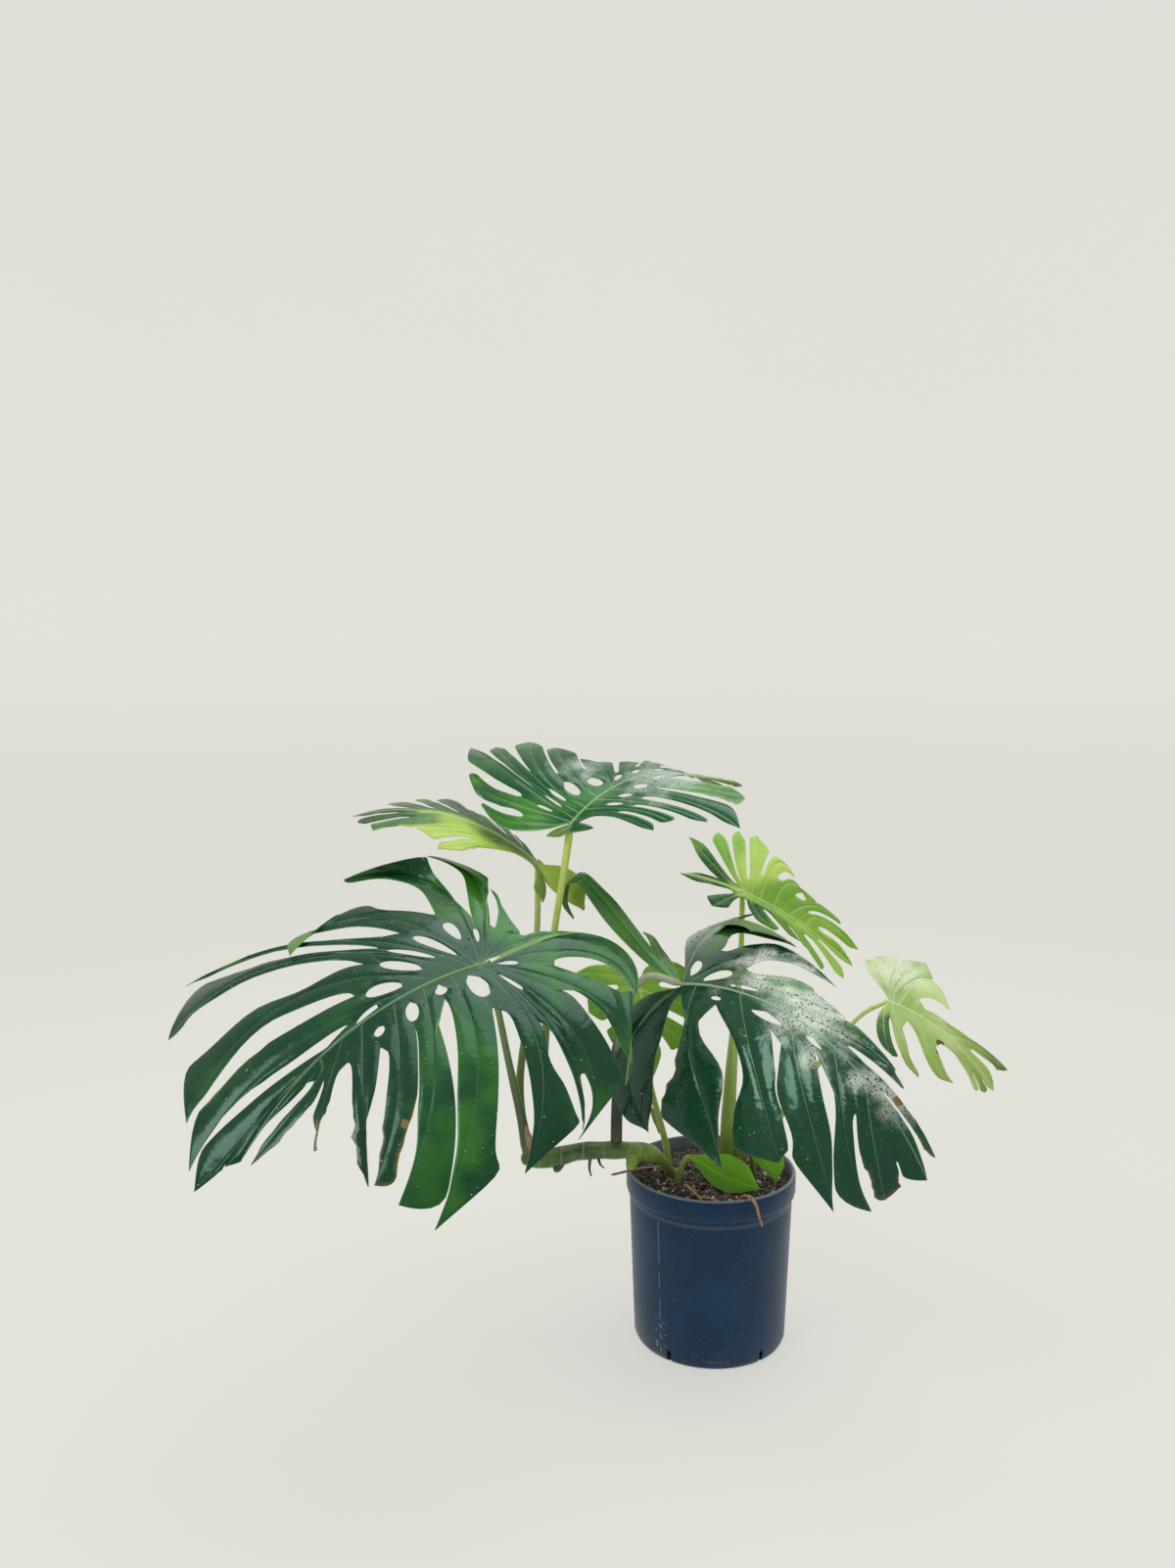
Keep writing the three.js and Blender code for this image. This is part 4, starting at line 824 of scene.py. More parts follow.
# %% Pale-backed leaf at the upper left, behind the big one; the glow of its underside is painted light
POSE_C = {
    "start": [-273, 60, 744], "heading": 166, "pitch": 40, "bend": 17, "roll": 0, "twist": 0,
    "left_half": [-16, 8], "right_half": [2, 7],
}
LEAF_C = {
    "length": 335, "bow": 0, "rib": 4.5, "left_margin": [0, 4, 5, 4, 2, 0],
    "right_margin": [0, 2, 3, 2, 1, 0],
    "left": [
        lobe(0, [-36, 34], [-55, 60], 0.12, [[0.7, 0.7, 0.7, 0.8], [0.8, 0.8, 0.7, 0.6]]),
        lobe(12, [79, 43], [140, 100], 0.50, [[0.2, 0.3, 0.4], [0.2, 0, -0.2]]),
        lobe(40, [136, 43], [184, 66], 0.44, [[0.1, 0.1, 0], 0.3]),
        lobe(80, [164, 40], [236, 56], 0.40, [[0.1, 0.3, 0.4], 0.1]),
        lobe(130, [216, 46], [270, 74], 0.34, [[0, -0.1, 0], 0.4]),
        lobe(190, [264, 26], [313, 34], 0.36, 0.25),
    ],
    "right": [
        lobe(0, [-8, 6], [-18, 12], 0.3, 0.3),
        lobe(4, [24, 16], [56, 40], 0.40, 0.30),
        lobe(14, [62, 34], [112, 90], 0.46, 0.20),
        lobe(36, [92, 26], [146, 78], 0.44, 0.15),
        lobe(76, [154, 50], [234, 146], 0.40, 0.20, 8),
        lobe(122, [202, 50], [264, 124], 0.36, 0.25, 8),
        lobe(180, [238, 36], [298, 98], 0.36, 0.20, 6),
    ],
}
tell("leaf_c", LEAF_C)

# %% Big dark leaf on the right
POSE_D = {
    "start": [-53, -60, 581], "heading": 315, "pitch": 9, "bend": 13.4, "roll": 22, "twist": 0,
    "left_half": [6, 10], "right_half": [-28, 10],
}
LEAF_D = {
    "length": 480, "bow": 10, "rib": 5, "left_margin": [0, 24, 46, 50, 36, 0],
    "right_margin": [0, 36, 50, 55, 40, 0],
    "left": [
        lobe(0, [-65, 207], [48, 125], 0.23,
            [[-0.45, 0.1, -0.4, -0.5, -0.5], [0.55, 0.55, 0.55, 0.6, 0.7]], 20, [0.03, 0.12, 0.5]),
        lobe(14, [89, 97], [210, 89], 0.31,
            [[0.15, 0.65, 0.65, 0.6, 0.7], [0.45, 0.5, 0.45, 0.5, 0.6]], 8, [0.02, 0.21, 0.5]),
        lobe(50, [140, 49], [190, 66], 0.75, 0.15, 0, [0.03, 0.16, 0.5]),
        lobe(110, [247, 40], [347, 50], 0.31, 0.06, 6),
        lobe(200, [296, 40], [352, 40], 0.24, [0.3, 0.6], 14),
        lobe(290, [362, 26], [460, 26], 0.40, 0.15),
    ],
    "right": [
        lobe(0, [-85, 112], [-10, 225], 0.06,
            [[0.1, -0.1, 0.15, 0.45, 0.8], [0.85, 0.85, 0.35, -0.3, -0.6]], -8),
        lobe(30, [80, 115], [254, 220], 0.11,
            [[0.55, 0.55, -0.05, 0.5, 0.9], [0.1, 0.55, 0.55, -0.1, -0.6]], 0, [0.05, 0.08, 0.2]),
        lobe(110, [204, 86], [341, 153], 0.14,
            [[-0.15, 0, 0.2, 0.35, 0.35], [0.6, 0.2, -0.25, -0.1, -0.6]], 0, [0.05, 0.11, 0.6]),
        lobe(200, [299, 72], [463, 127], 0.1,
            [[0, -0.05, -0.1, 0.35, 0.9], [0.7, 0.65, 0.25, -0.3, -0.8]], 0, [0.03, 0.07, 0.4]),
        lobe(275, [394, 68], [487, 82], 0.3, [[0.3, 0.45, 0.65, 0.8, 0.8], [0, -0.15, -0.2, 0, -0.3]]),
        lobe(335, [400, 32], [480, 60], 0.75, 0.05),
    ],
}
tell("leaf_d", LEAF_D)

# %% Young yellow-green leaf at the upper right
POSE_E = {
    "start": [74, 240, 664], "heading": 337, "pitch": -19, "bend": 10, "roll": 30, "twist": 0,
    "left_half": [25, 12], "right_half": [-10, 10],
}
LEAF_E = {
    "length": 225, "bow": 0, "rib": 3.5, "left_margin": [0, 8, 10, 12, 10, 0],
    "right_margin": [0, 6, 8, 8, 6, 0],
    "left": [
        lobe(0, [-50, 20], [-124, 72], 0.22, 0.35),
        lobe(4, [-32, 32], [-80, 96], 0.22, 0.30),
        lobe(8, [-25, 42], [-52, 110], 0.26, 0.20),
        lobe(16, [0, 61], [-21, 112], 0.26, 0.20),
        lobe(34, [26, 72], [54, 76], 0.34, [0.1, 0.6]),
        lobe(60, [62, 54], [101, 40], 0.34, [0.1, 0.5]),
        lobe(90, [114, 40], [158, 47], 0.30, [0.1, 0.45]),
        lobe(125, [136, 28], [213, 28], 0.30, 0.25),
    ],
    "right": [
        lobe(0, [-52, 1], [-117, 2], 0.22, 0.45),
        lobe(4, [-18, 26], [-35, 50], 0.22, 0.50),
        lobe(20, [34, 20], [83, 40], 0.30, 0.25),
        lobe(50, [96, 20], [136, 28], 0.30, 0.25),
        lobe(80, [144, 28], [190, 46], 0.26, 0.40),
        lobe(115, [174, 14], [228, 30], 0.28, 0.35),
    ],
}
tell("leaf_e", LEAF_E)

# %% Pale leaf at the far right
POSE_F = {
    "start": [287, 60, 521], "heading": 334, "pitch": -14, "bend": 21, "roll": 20, "twist": 0,
    "left_half": [20, 14], "right_half": [-10, 14],
}
LEAF_F = {
    "length": 212, "bow": 0, "rib": 3.5, "left_margin": [0, 2, 4, 6, 6, 0],
    "right_margin": [0, 8, 12, 12, 8, 0],
    "left": [
        lobe(0, [-30, 38], [-54, 70], 0.80, 0.10),
        lobe(3, [-22, 47], [-36, 87], 0.80, 0.10),
        lobe(8, [4, 45], [24, 104], 0.60, [0.1, 0.4]),
        lobe(18, [36, 70], [82, 44], 0.22, [[0, 0, 0.1], [0.7, 0.8, 0.8]]),
        lobe(55, [72, 12], [120, 14], 0.30, [0.1, 0.5]),
        lobe(110, [146, 26], [200, 44], 0.36, 0.20),
    ],
    "right": [
        lobe(0, [15, 57], [50, 91], 0.20, 0.25),
        lobe(8, [58, 70], [112, 94], 0.12, [0.6, 0.4]),
        lobe(40, [120, 56], [162, 56], 0.22, [[0.5, 0.6, 0.7], [0.6, 0.8, 0.8]]),
        lobe(100, [162, 18], [196, 30], 0.50, 0.15),
        lobe(140, [180, 12], [206, 18], 0.60, 0.12),
    ],
}
tell("leaf_f", LEAF_F)

# %% Small yellow-green leaf behind the middle of the plant
POSE_J = {
    "start": [-112, 100, 546], "heading": 285, "pitch": -48, "bend": 12, "roll": 0, "twist": 0,
    "left_half": [6, 10], "right_half": [6, 10],
}
LEAF_J = {
    "length": 160, "bow": 0, "rib": 3, "left_margin": [0, 14, 18, 18, 12, 0],
    "right_margin": [0, 14, 18, 18, 12, 0],
    "left": [
        lobe(0, [-10, 45], [-12, 88], 0.36, 0.20),
        lobe(20, [40, 44], [60, 84], 0.36, 0.25),
        lobe(60, [88, 34], [112, 60], 0.36, 0.25),
    ],
    "right": [
        lobe(0, [-10, 50], [-20, 100], 0.36, 0.20),
        lobe(20, [36, 48], [52, 92], 0.36, 0.25),
        lobe(60, [84, 34], [106, 60], 0.36, 0.25),
    ],
}
tell("leaf_j", LEAF_J)

# %% [markdown]
# ## The leaves
# Each leaf is one blade mesh with its midrib. The blade's colour is a material made of nodes that
# reads the mesh's own values: the distance from the nearest vein, from the margin and from the
# midrib, and which face of the sheet a point is on. That draws the pale veins where they grow, and
# needs no picture.

# %% Greens, fine veins and a film of painted sheen
DARKEST, MIDDLE, FRESHEST = -1.0, 0.0, 1.0
SIDE_VEIN_SLANT = -0.55
SIDE_VEIN_SPACING = 4.5


def leaf_body(tree, look, place, tone):
    """The greens of both faces: from deep through usual to fresh, with broad and fine patches."""
    broad = patches(tree, place, 11.0, 4.0, 0.32, 0.68)
    shade = times(tree, maths(tree, "SUBTRACT", broad, 0.5), 0.7, tone)
    darkness = fade(tree, shade, DARKEST, MIDDLE)
    body = blend_colours(tree, darkness, look["deep"], look["usual"])
    body = blend_colours(tree, fade(tree, shade, MIDDLE, FRESHEST), body, look["fresh"])
    fine = noise_value(tree, place, 240.0, 4.0)
    below = blend_colours(tree, broad, look["under"], look["under_light"])
    below = blend_colours(tree, darkness, look["usual"], below)
    return lay_over(tree, body, fade(tree, fine, 0.52, 0.74), 0.22, look["fresh"]), below, broad, fine


def side_vein_phase(tree, place, away, along):
    """0 on the fine veins that leave a lobe's main vein at a slant, larger between them."""
    slanted = times(tree, away, SIDE_VEIN_SLANT, along)
    wobble = times(tree, noise_value(tree, place, 60.0), 4.0, slanted)
    return maths(tree, "PINGPONG", wobble, SIDE_VEIN_SPACING)


def distance_from(tree, place, centre, roughness, scale):
    """How far a point is from a centre, with a ragged edge."""
    off = vectors(tree, "DISTANCE", place, centre)["Value"]
    unevenness = maths(tree, "SUBTRACT", noise_value(tree, place, scale, 5.0), 0.5)
    return times(tree, unevenness, roughness, off)


def add_painted_sheen_film(tree, look, place, body):
    """Painted sheen and dried spray water: a whitish film round some places that stands in for the glare
    of the lamps as well as dried water, with clean specks where drops stood.
    """
    clean = maths(tree, "SUBTRACT", 1.0, patches(tree, place, 330.0, 3.0, 0.56, 0.62))
    for centre, reach in look["painted_sheen_film_places"]:
        off = distance_from(tree, place, centre, 3.0 * reach, 24.0)
        painted_sheen_film = maths(tree, "MULTIPLY", fade(tree, off, 1.4 * reach, 0.2 * reach), look["painted_sheen_film_strength"])
        body = lay_over(tree, body, painted_sheen_film, clean, look["painted_sheen_film"])
    return body


# %% Leaf material
LEAF_VALUES = ("away", "along", "stout", "rim", "rib", "tone", "torn", "tipward", "under")
SIDE_VEIN_STRENGTH = 0.14
LEAF_RELIEF = 0.0005

# Millimetres on the blade, as distances from a vein or from the rim.
SIDE_VEIN_WIDTH = 0.5
VEIN_COLOUR_WIDTH = 0.3
VEIN_COLOUR_WIDENS = 1.4
PALE_RIM = (0.9, 0.3)
DECAY_REACH = 14.0

# Shares of the midrib's half width and of its length.
RIB_COLOUR_EDGE = (1.5, 0.9)
RIB_COLOUR_CHANGE = (0.02, 0.5)


def leaf_material(name, look):
    """Green that varies from lobe to lobe, pale veins and rim, a lighter underside, brown decay."""
    look = {key: colour(*value) if key in LOOK_COLOURS else value for key, value in look.items()}
    material, tree, shader, place = new_material(name)
    away, along, stout, rim, rib, tone, torn, tipward, under = [
        read_attribute(tree, key) for key in LEAF_VALUES]

    body, below, broad, fine = leaf_body(tree, look, place, tone)
    phase = side_vein_phase(tree, place, away, along)
    on_side_vein = fade(tree, phase, SIDE_VEIN_WIDTH, 0.0)
    body = lay_over(tree, body, on_side_vein, SIDE_VEIN_STRENGTH * look["vein_strength"], look["vein"])
    vein_width = times(tree, stout, VEIN_COLOUR_WIDENS, VEIN_COLOUR_WIDTH)
    on_vein = fade(tree, maths(tree, "DIVIDE", away, vein_width), 1.1, 0.4)
    body = lay_over(tree, body, on_vein, look["vein_strength"], look["vein"])
    if "painted_sheen_film" in look:
        body = add_painted_sheen_film(tree, look, place, body)
    body = blend_colours(tree, under, body, lay_over(tree, below, on_vein, 0.7, look["vein"]))
    towards_tip = fade(tree, tipward, *RIB_COLOUR_CHANGE)
    rib_tone = blend_colours(tree, towards_tip, look["rib_near"], look["rib_far"])
    body = lay_over(tree, body, fade(tree, rib, *RIB_COLOUR_EDGE), look["rib_strength"], rib_tone)
    body = lay_over(tree, body, fade(tree, rim, *PALE_RIM), look["rim_strength"], look["rim"])
    decay = times(tree, noise_value(tree, place, 45.0, 4.0), -DECAY_REACH, rim)
    body = lay_over(tree, body, fade(tree, decay, 0.0, -DECAY_REACH / 2), torn, look["torn"])
    for centre, reach in look.get("spots", ()):
        off = distance_from(tree, place, centre, 1.2 * reach, 160.0)
        body = blend_colours(tree, fade(tree, off, 1.1 * reach, 0.8 * reach), body, look["torn"])

    rough = times(tree, under, 0.2, times(tree, broad, 0.12, look["roughness"]))
    feed(tree, shader, {"Base Color": body, "Roughness": rough,
                        "Specular IOR Level": look["gloss"], "Specular Tint": WAXY_SHEEN})
    swells = maths(tree, "MULTIPLY", noise_value(tree, place, 38.0, 2.0), 3.5)
    relief = times(tree, fine, 0.3, swells)
    relief = times(tree, fade(tree, phase, 3.0, 0.0), -0.06, relief)
    add_bump(tree, shader, times(tree, on_vein, -0.7, relief), LEAF_RELIEF)
    return material


# %% [markdown]
# One recipe serves all leaves, so what differs is kept in one table of looks. The old leaves are nearly
# black-green and glossy; the young ones are yellow-green and duller. The whitish film, partly dried
# water and partly painted sheen, and the brown spots have places of their own, in metres, because they
# lie where the water dried and the glare falls, or where the leaf tore.

# %% Looks
WAXY_SHEEN = (0.58, 0.95, 0.76, 1.0)
LOOK_COLOURS = ("deep", "usual", "fresh", "vein", "rib_near", "rib_far", "rim", "under", "under_light",
                "torn", "painted_sheen_film")
# In three looks a whitish film is partly dried spray water and partly painted sheen, laid where the
# lamps' glare falls.
LOOKS = {
    "dark": {
        "deep": (2, 34, 20), "usual": (5, 50, 29), "fresh": (46, 102, 28),
        "vein": (104, 134, 104), "vein_strength": 0.34,
        "rib_near": (104, 138, 60), "rib_far": (112, 138, 112), "rib_strength": 0.8,
        "rim": (112, 146, 88), "rim_strength": 0.45,
        "under": (74, 108, 50), "under_light": (98, 130, 66),
        "torn": (118, 98, 58), "roughness": 0.12, "gloss": 0.38,
        "spots": (((-0.419, -0.410, 0.498), 0.006),),
    },
    "top": {
        "deep": (3, 44, 26), "usual": (6, 72, 30), "fresh": (80, 142, 38),
        "vein": (142, 166, 128), "vein_strength": 0.45,
        "rib_near": (150, 178, 110), "rib_far": (150, 172, 126), "rib_strength": 0.8,
        "rim": (168, 182, 110), "rim_strength": 0.6,
        "under": (66, 104, 44), "under_light": (100, 136, 62),
        "torn": (150, 138, 70), "roughness": 0.14, "gloss": 0.38,
        "painted_sheen_film": (186, 198, 192), "painted_sheen_film_strength": 0.6,
        "painted_sheen_film_places": (((-0.127, 0.23, 0.887), 0.08), ((-0.07, 0.05, 0.885), 0.06),
                        ((-0.2, 0.12, 0.87), 0.045)),
    },
    "pale_back_and_painted_glow": {
        "deep": (14, 58, 32), "usual": (60, 102, 50), "fresh": (158, 184, 72),
        "vein": (168, 190, 112), "vein_strength": 0.3,
        "rib_near": (176, 192, 128), "rib_far": (190, 206, 130), "rib_strength": 0.8,
        # Under colours raised as painted light: the glow of light shining through the blade.
        "rim": (170, 190, 112), "rim_strength": 0.3,
        "under": (158, 188, 72), "under_light": (184, 204, 110),
        "torn": (150, 116, 66), "roughness": 0.28, "gloss": 0.4,
    },
    "glazed": {
        "deep": (3, 40, 27), "usual": (7, 54, 34), "fresh": (66, 116, 36),
        "vein": (124, 154, 118), "vein_strength": 0.5,
        "rib_near": (150, 170, 140), "rib_far": (120, 146, 112), "rib_strength": 0.8,
        "rim": (124, 152, 96), "rim_strength": 0.5,
        "under": (58, 96, 26), "under_light": (86, 122, 44),
        "torn": (112, 82, 52), "roughness": 0.08, "gloss": 0.55,
        "painted_sheen_film": (208, 210, 202), "painted_sheen_film_strength": 0.75,
        "painted_sheen_film_places": (((0.07, -0.1, 0.61), 0.055), ((0.12, -0.19, 0.57), 0.065),
                        ((0.2, -0.275, 0.49), 0.036)),
        "spots": (((-0.082, -0.149, 0.452), 0.006), ((0.218, -0.298, 0.486), 0.008)),
    },
    "young": {
        "deep": (30, 78, 34), "usual": (116, 162, 52), "fresh": (180, 208, 98),
        "vein": (188, 208, 130), "vein_strength": 0.55,
        "rib_near": (190, 210, 130), "rib_far": (190, 210, 130), "rib_strength": 0.8,
        "rim": (190, 208, 118), "rim_strength": 0.6,
        "under": (118, 160, 52), "under_light": (150, 184, 80),
        "torn": (150, 116, 60), "roughness": 0.28, "gloss": 0.4,
    },
    "tender": {
        "deep": (66, 120, 20), "usual": (98, 156, 26), "fresh": (136, 190, 44),
        "vein": (170, 206, 90), "vein_strength": 0.5,
        "rib_near": (120, 158, 66), "rib_far": (120, 158, 66), "rib_strength": 0.6,
        "rim": (138, 168, 70), "rim_strength": 0.5,
        "under": (96, 152, 34), "under_light": (124, 176, 50),
        "torn": (150, 116, 60), "roughness": 0.26, "gloss": 0.4,
    },
    "faded": {
        "deep": (34, 78, 30), "usual": (138, 166, 84), "fresh": (186, 202, 140),
        "vein": (208, 218, 160), "vein_strength": 0.5,
        "rib_near": (206, 216, 160), "rib_far": (200, 212, 150), "rib_strength": 0.8,
        "rim": (200, 210, 140), "rim_strength": 0.6,
        "under": (116, 150, 56), "under_light": (150, 178, 86),
        "torn": (96, 72, 42), "roughness": 0.32, "gloss": 0.35,
        "painted_sheen_film": (216, 218, 200), "painted_sheen_film_strength": 0.7,
        "painted_sheen_film_places": (((0.311, 0.108, 0.560), 0.05),),
        "spots": (((0.3545, -0.004, 0.458), 0.008), ((0.357, 0.005, 0.468), 0.007)),
    },
}
print("looks:", ", ".join(LOOKS))

# %% [markdown]
# A narrow lobe that turns out of the leaf's own surface, such as the hooked one of the right-hand
# leaf, can't be laid out on it. It is a strap along a path of its own, and becomes part of the same
# mesh.

# %% Lobes that are straps
HOOKED_LOBE = {
    "points": [[-54, -60, 581], [-94, -34, 614], [-132, -10, 655], [-173, 14, 701],
               [-205, 20, 730], [-224, 24, 722], [-230, 26, 688], [-216, 28, 662]],
    "left_widths": [3, 9, 13, 16, 17, 15, 13, 9, 2],
    "right_widths": [3, 10, 16, 21, 22, 18, 14, 10, 2],
    "side": [0.45, 0.75, 0.5], "cup": 0.2, "turned": True, "tone": 0.8,
}
SMALL_LOBE = {
    "points": [[-54, -60, 581], [-80, -26, 610], [-96, -6, 638], [-108, 4, 646]],
    "left_widths": [3, 10, 14, 10, 1], "right_widths": [3, 8, 12, 8, 1],
    "side": [0.3, 0.8, 0.5], "cup": 0.1,
}
TOP_LEAF_LOBE = {
    "points": [[-218, -3, 813], [-234, -10, 806], [-256, -14, 799]],
    "left_widths": [3, 5, 6, 5, 1], "right_widths": [3, 7, 8, 6, 1],
    "side": [-0.3, 0.3, 0.9],
}
BROAD_LOBE = {
    "points": [[-272, 58, 742], [-250, 48, 724], [-222, 42, 700], [-199, 42, 673]],
    "left_widths": [3, 22, 30, 26, 2], "right_widths": [3, 12, 15, 11, 2],
    "side": [0.6, 0.35, 0.7], "cup": -0.1, "tone": 1.0,
}

# %% [markdown]
# On the real plant some lobes are fresher or darker than their leaf, and some ends are torn and brown.
# Some tones are also painted light and shade: a curled lobe is made lighter where it turns from the
# light, the drooping half of a young leaf darker as painted shade, and its raised half lighter as
# painted light shining through. Two small tables give each of these lobes its tone or its raggedness, by
# the lobe's number from the foot of the blade.

# %% Build the blades
LEAVES = {
    "leaf_a": (POSE_A, LEAF_A, "dark", ()),
    "leaf_b": (POSE_B, LEAF_B, "top", (TOP_LEAF_LOBE,)),
    "leaf_c": (POSE_C, LEAF_C, "pale_back_and_painted_glow", (BROAD_LOBE,)),
    "leaf_d": (POSE_D, LEAF_D, "glazed", (HOOKED_LOBE, SMALL_LOBE)),
    "leaf_e": (POSE_E, LEAF_E, "young", ()),
    "leaf_f": (POSE_F, LEAF_F, "faded", ()),
    "leaf_j": (POSE_J, LEAF_J, "young", ()),
}
LOBE_TONES_AND_PAINTED_LIGHT = {
    # leaf_a's right lobes 2 and 3 are partly painted light: made lighter against the shade where they
    # curl up and away.
    "leaf_a": {"right": {0: 0.8, 1: 1.0, 2: 1.0, 3: 0.5, 4: -0.1, 6: -0.2},
               "left": {0: 0.4, 1: 0.5, 2: 0.1, 4: 0.1, 5: 0.5, 6: 0.2, 8: -0.3}},
    "leaf_b": {"left": {0: 0.5, 1: 0.4}, "right": {5: 0.6, 6: 0.9, 7: 1.0}},
    "leaf_c": {"whole": 0.4, "left": {1: 1.0, 2: 1.0, 3: 1.0, 4: 0.2, 5: -0.8, 6: -1.0},
               "right": {3: -0.2, 4: -0.7, 5: -1.0, 6: -1.0, 7: -1.0}},
    "leaf_d": {"left": {0: 0.4, 2: 0.3, 3: 0.4}, "right": {0: -0.5, 1: -0.2}},
    # leaf_e's drooping right half is darker as painted shade, and its raised left half lighter as
    # painted light shining through.
    "leaf_e": {"whole": 0.2, "left": {0: -0.8, 1: 0.2, 2: 0.6, 3: 0.8, 4: 0.7},
               "right": {0: -0.9, 1: -0.9, 2: -0.7, 3: -0.7, 4: -0.3}},
    "leaf_f": {"whole": 0.3, "left": {3: 0.8, 5: -0.3}, "right": {0: -1.0, 4: -0.4}},
}
RAGGED_LOBES = {
    "leaf_a": {"left": {7: 0.35, 8: 0.45, 9: 0.45, 10: 0.3}, "right": {6: 0.12, 8: 0.3}},
    "leaf_b": {"right": {5: 0.3, 6: 0.4, 7: 0.4}},
    "leaf_c": {"left": {1: 0.2, 2: 0.2}, "right": {5: 0.3, 6: 0.3}},
    "leaf_d": {"right": {1: 0.3, 5: 0.3}, "left": {5: 0.3}},
    "leaf_f": {"right": {1: 0.3}, "left": {5: 0.3}},
}
for node, (pose, leaf, look, straps) in LEAVES.items():
    leaf["tones"], leaf["ragged"] = LOBE_TONES_AND_PAINTED_LIGHT.get(node, {}), RAGGED_LOBES.get(node, {})
    blade = build_leaf(node + "_blade", pose, leaf, straps)
    blade.data.materials.append(leaf_material(node + "_green", LOOKS[look]))
    settle(blade, node)

# %% [markdown]
# ## Stalks, sheaths and the cane
# A stalk follows a path, so it is a curve that a geometry tree turns into a tube: the path's points
# carry a radius, the tree sweeps a slightly grooved outline along them, and keeps how far along each
# point is, for the colour. The real stalk is green, paler at the leaf and brown where the old sheath
# has dried.

# %% Geometry trees
def new_geometry_tree(name, **sockets):
    """An empty geometry tree with a mesh in, a mesh out and the named inputs."""
    tree = bpy.data.node_groups.new(name, "GeometryNodeTree")
    for key, kind in {"Geometry": "Geometry", **sockets}.items():
        tree.interface.new_socket(key, in_out="INPUT", socket_type="NodeSocket" + kind)
    tree.interface.new_socket("Geometry", in_out="OUTPUT", socket_type="NodeSocketGeometry")
    return tree, add_node(tree, "NodeGroupInput").outputs


def end_geometry_tree(tree, geometry, material):
    """Makes the copies real, gives them the material and ends the tree."""
    real = add_node(tree, "GeometryNodeRealizeInstances", {"Geometry": geometry}).outputs[0]
    inputs = {"Geometry": real, "Material": material}
    coloured = add_node(tree, "GeometryNodeSetMaterial", inputs).outputs[0]
    add_node(tree, "NodeGroupOutput", {0: coloured})
    print(tree.name, "tree:", len(tree.nodes), "nodes")
    return tree


# %% The tube tree
def tube_tree():
    """Sweeps a round outline with one groove along a path whose points carry a radius."""
    tree, given = new_geometry_tree(
        "Tube along a path", Corners="Int", Groove="Float", Material="Material")
    curve = add_node(tree, "GeometryNodeMeshToCurve", {"Mesh": given["Geometry"]}).outputs["Curve"]
    radius = add_node(tree, "GeometryNodeInputNamedAttribute", {"Name": "radius_mm"}, data_type="FLOAT")
    radius = maths(tree, "MULTIPLY", radius.outputs["Attribute"], MM)
    curve = add_node(tree, "GeometryNodeSetCurveRadius", {"Curve": curve, "Radius": radius}).outputs[0]
    inputs = {"Resolution": given["Corners"], "Radius": 1.0}
    outline = add_node(tree, "GeometryNodeCurvePrimitiveCircle", inputs).outputs["Curve"]
    spot = add_node(tree, "GeometryNodeInputPosition").outputs[0]
    dent = maths(tree, "MULTIPLY", fade(tree, split_axes(tree, spot)["Y"], 0.75, 1.0), given["Groove"])
    shaped = vectors(tree, "SCALE", spot, maths(tree, "SUBTRACT", 1.0, dent))[0]
    inputs = {"Geometry": outline, "Position": shaped}
    outline = add_node(tree, "GeometryNodeSetPosition", inputs).outputs[0]
    inputs = {"Curve": curve, "Profile Curve": outline, "Fill Caps": True}
    sweep = add_node(tree, "GeometryNodeCurveToMesh", inputs)
    if "Scale" in sweep.inputs:
        feed(tree, sweep, {"Scale": add_node(tree, "GeometryNodeInputRadius").outputs[0]})
    smooth = add_node(tree, "GeometryNodeSetShadeSmooth", {"Geometry": sweep.outputs[0]}).outputs[0]
    return end_geometry_tree(tree, smooth, given["Material"])


TUBE_TREE = tube_tree()
TUBE_WAVES = 9
TUBE_END = 0.15


def tube_object(name, strands, material, corners=16, groove=0.0, rings=40, wobble=0.0, inset=0.0):
    """One mesh of tubes: each strand has its points and its radii in millimetres."""
    points, edges, radii, shares = [], [], [], []
    for number, strand in enumerate(strands):
        path, _, _ = even_path(strand["points"], rings)
        for k, place in enumerate(path):
            share = k / (rings - 1)
            if k:
                edges.append((len(points) - 1, len(points)))
            points.append(place)
            swell = wobble * noise.noise(Vector((share * TUBE_WAVES, number * 5.1, 2.0)))
            end = math.sqrt(clamp01(min(share, 1 - share) * rings / 2 + TUBE_END))
            radii.append(profile_at(strand["radii"], share) * (1 + swell) * end - inset)
            shares.append(share)
    made = make_object(name, points, [], {"radius_mm": radii, "share": shares}, edges)
    return run_tree(made, TUBE_TREE, {"Corners": corners, "Groove": groove, "Material": material})

# %% Stalk material
def stalk_material(name, low, high):
    """Green that changes from the foot (share 0) to the blade (share 1), with brown at the foot."""
    low, high = colour(*low), colour(*high)
    material, tree, shader, place = new_material(name)
    share = read_attribute(tree, "share")
    body = blend_colours(tree, fade(tree, share, 0.1, 0.95), low, high)
    mottling = noise_value(tree, place, 70.0, 4.0)
    darker = blend_colours(tree, 0.35, body, colour(40, 66, 28))
    body = lay_over(tree, body, fade(tree, mottling, 0.5, 0.72), 0.6, darker)
    body = lay_over(tree, body, patches(tree, place, 700.0, 2.0, 0.64, 0.72), 0.35, high)
    near_foot = times(tree, mottling, -0.1, share)
    body = lay_over(tree, body, fade(tree, near_foot, 0.1, -0.05), 0.6, colour(112, 92, 54))
    feed(tree, shader, {"Base Color": body, "Roughness": times(tree, mottling, 0.25, 0.28)})
    add_bump(tree, shader, streaks_along(tree, place, (600.0, 600.0, 40.0), 3.0), 0.0005)
    return material


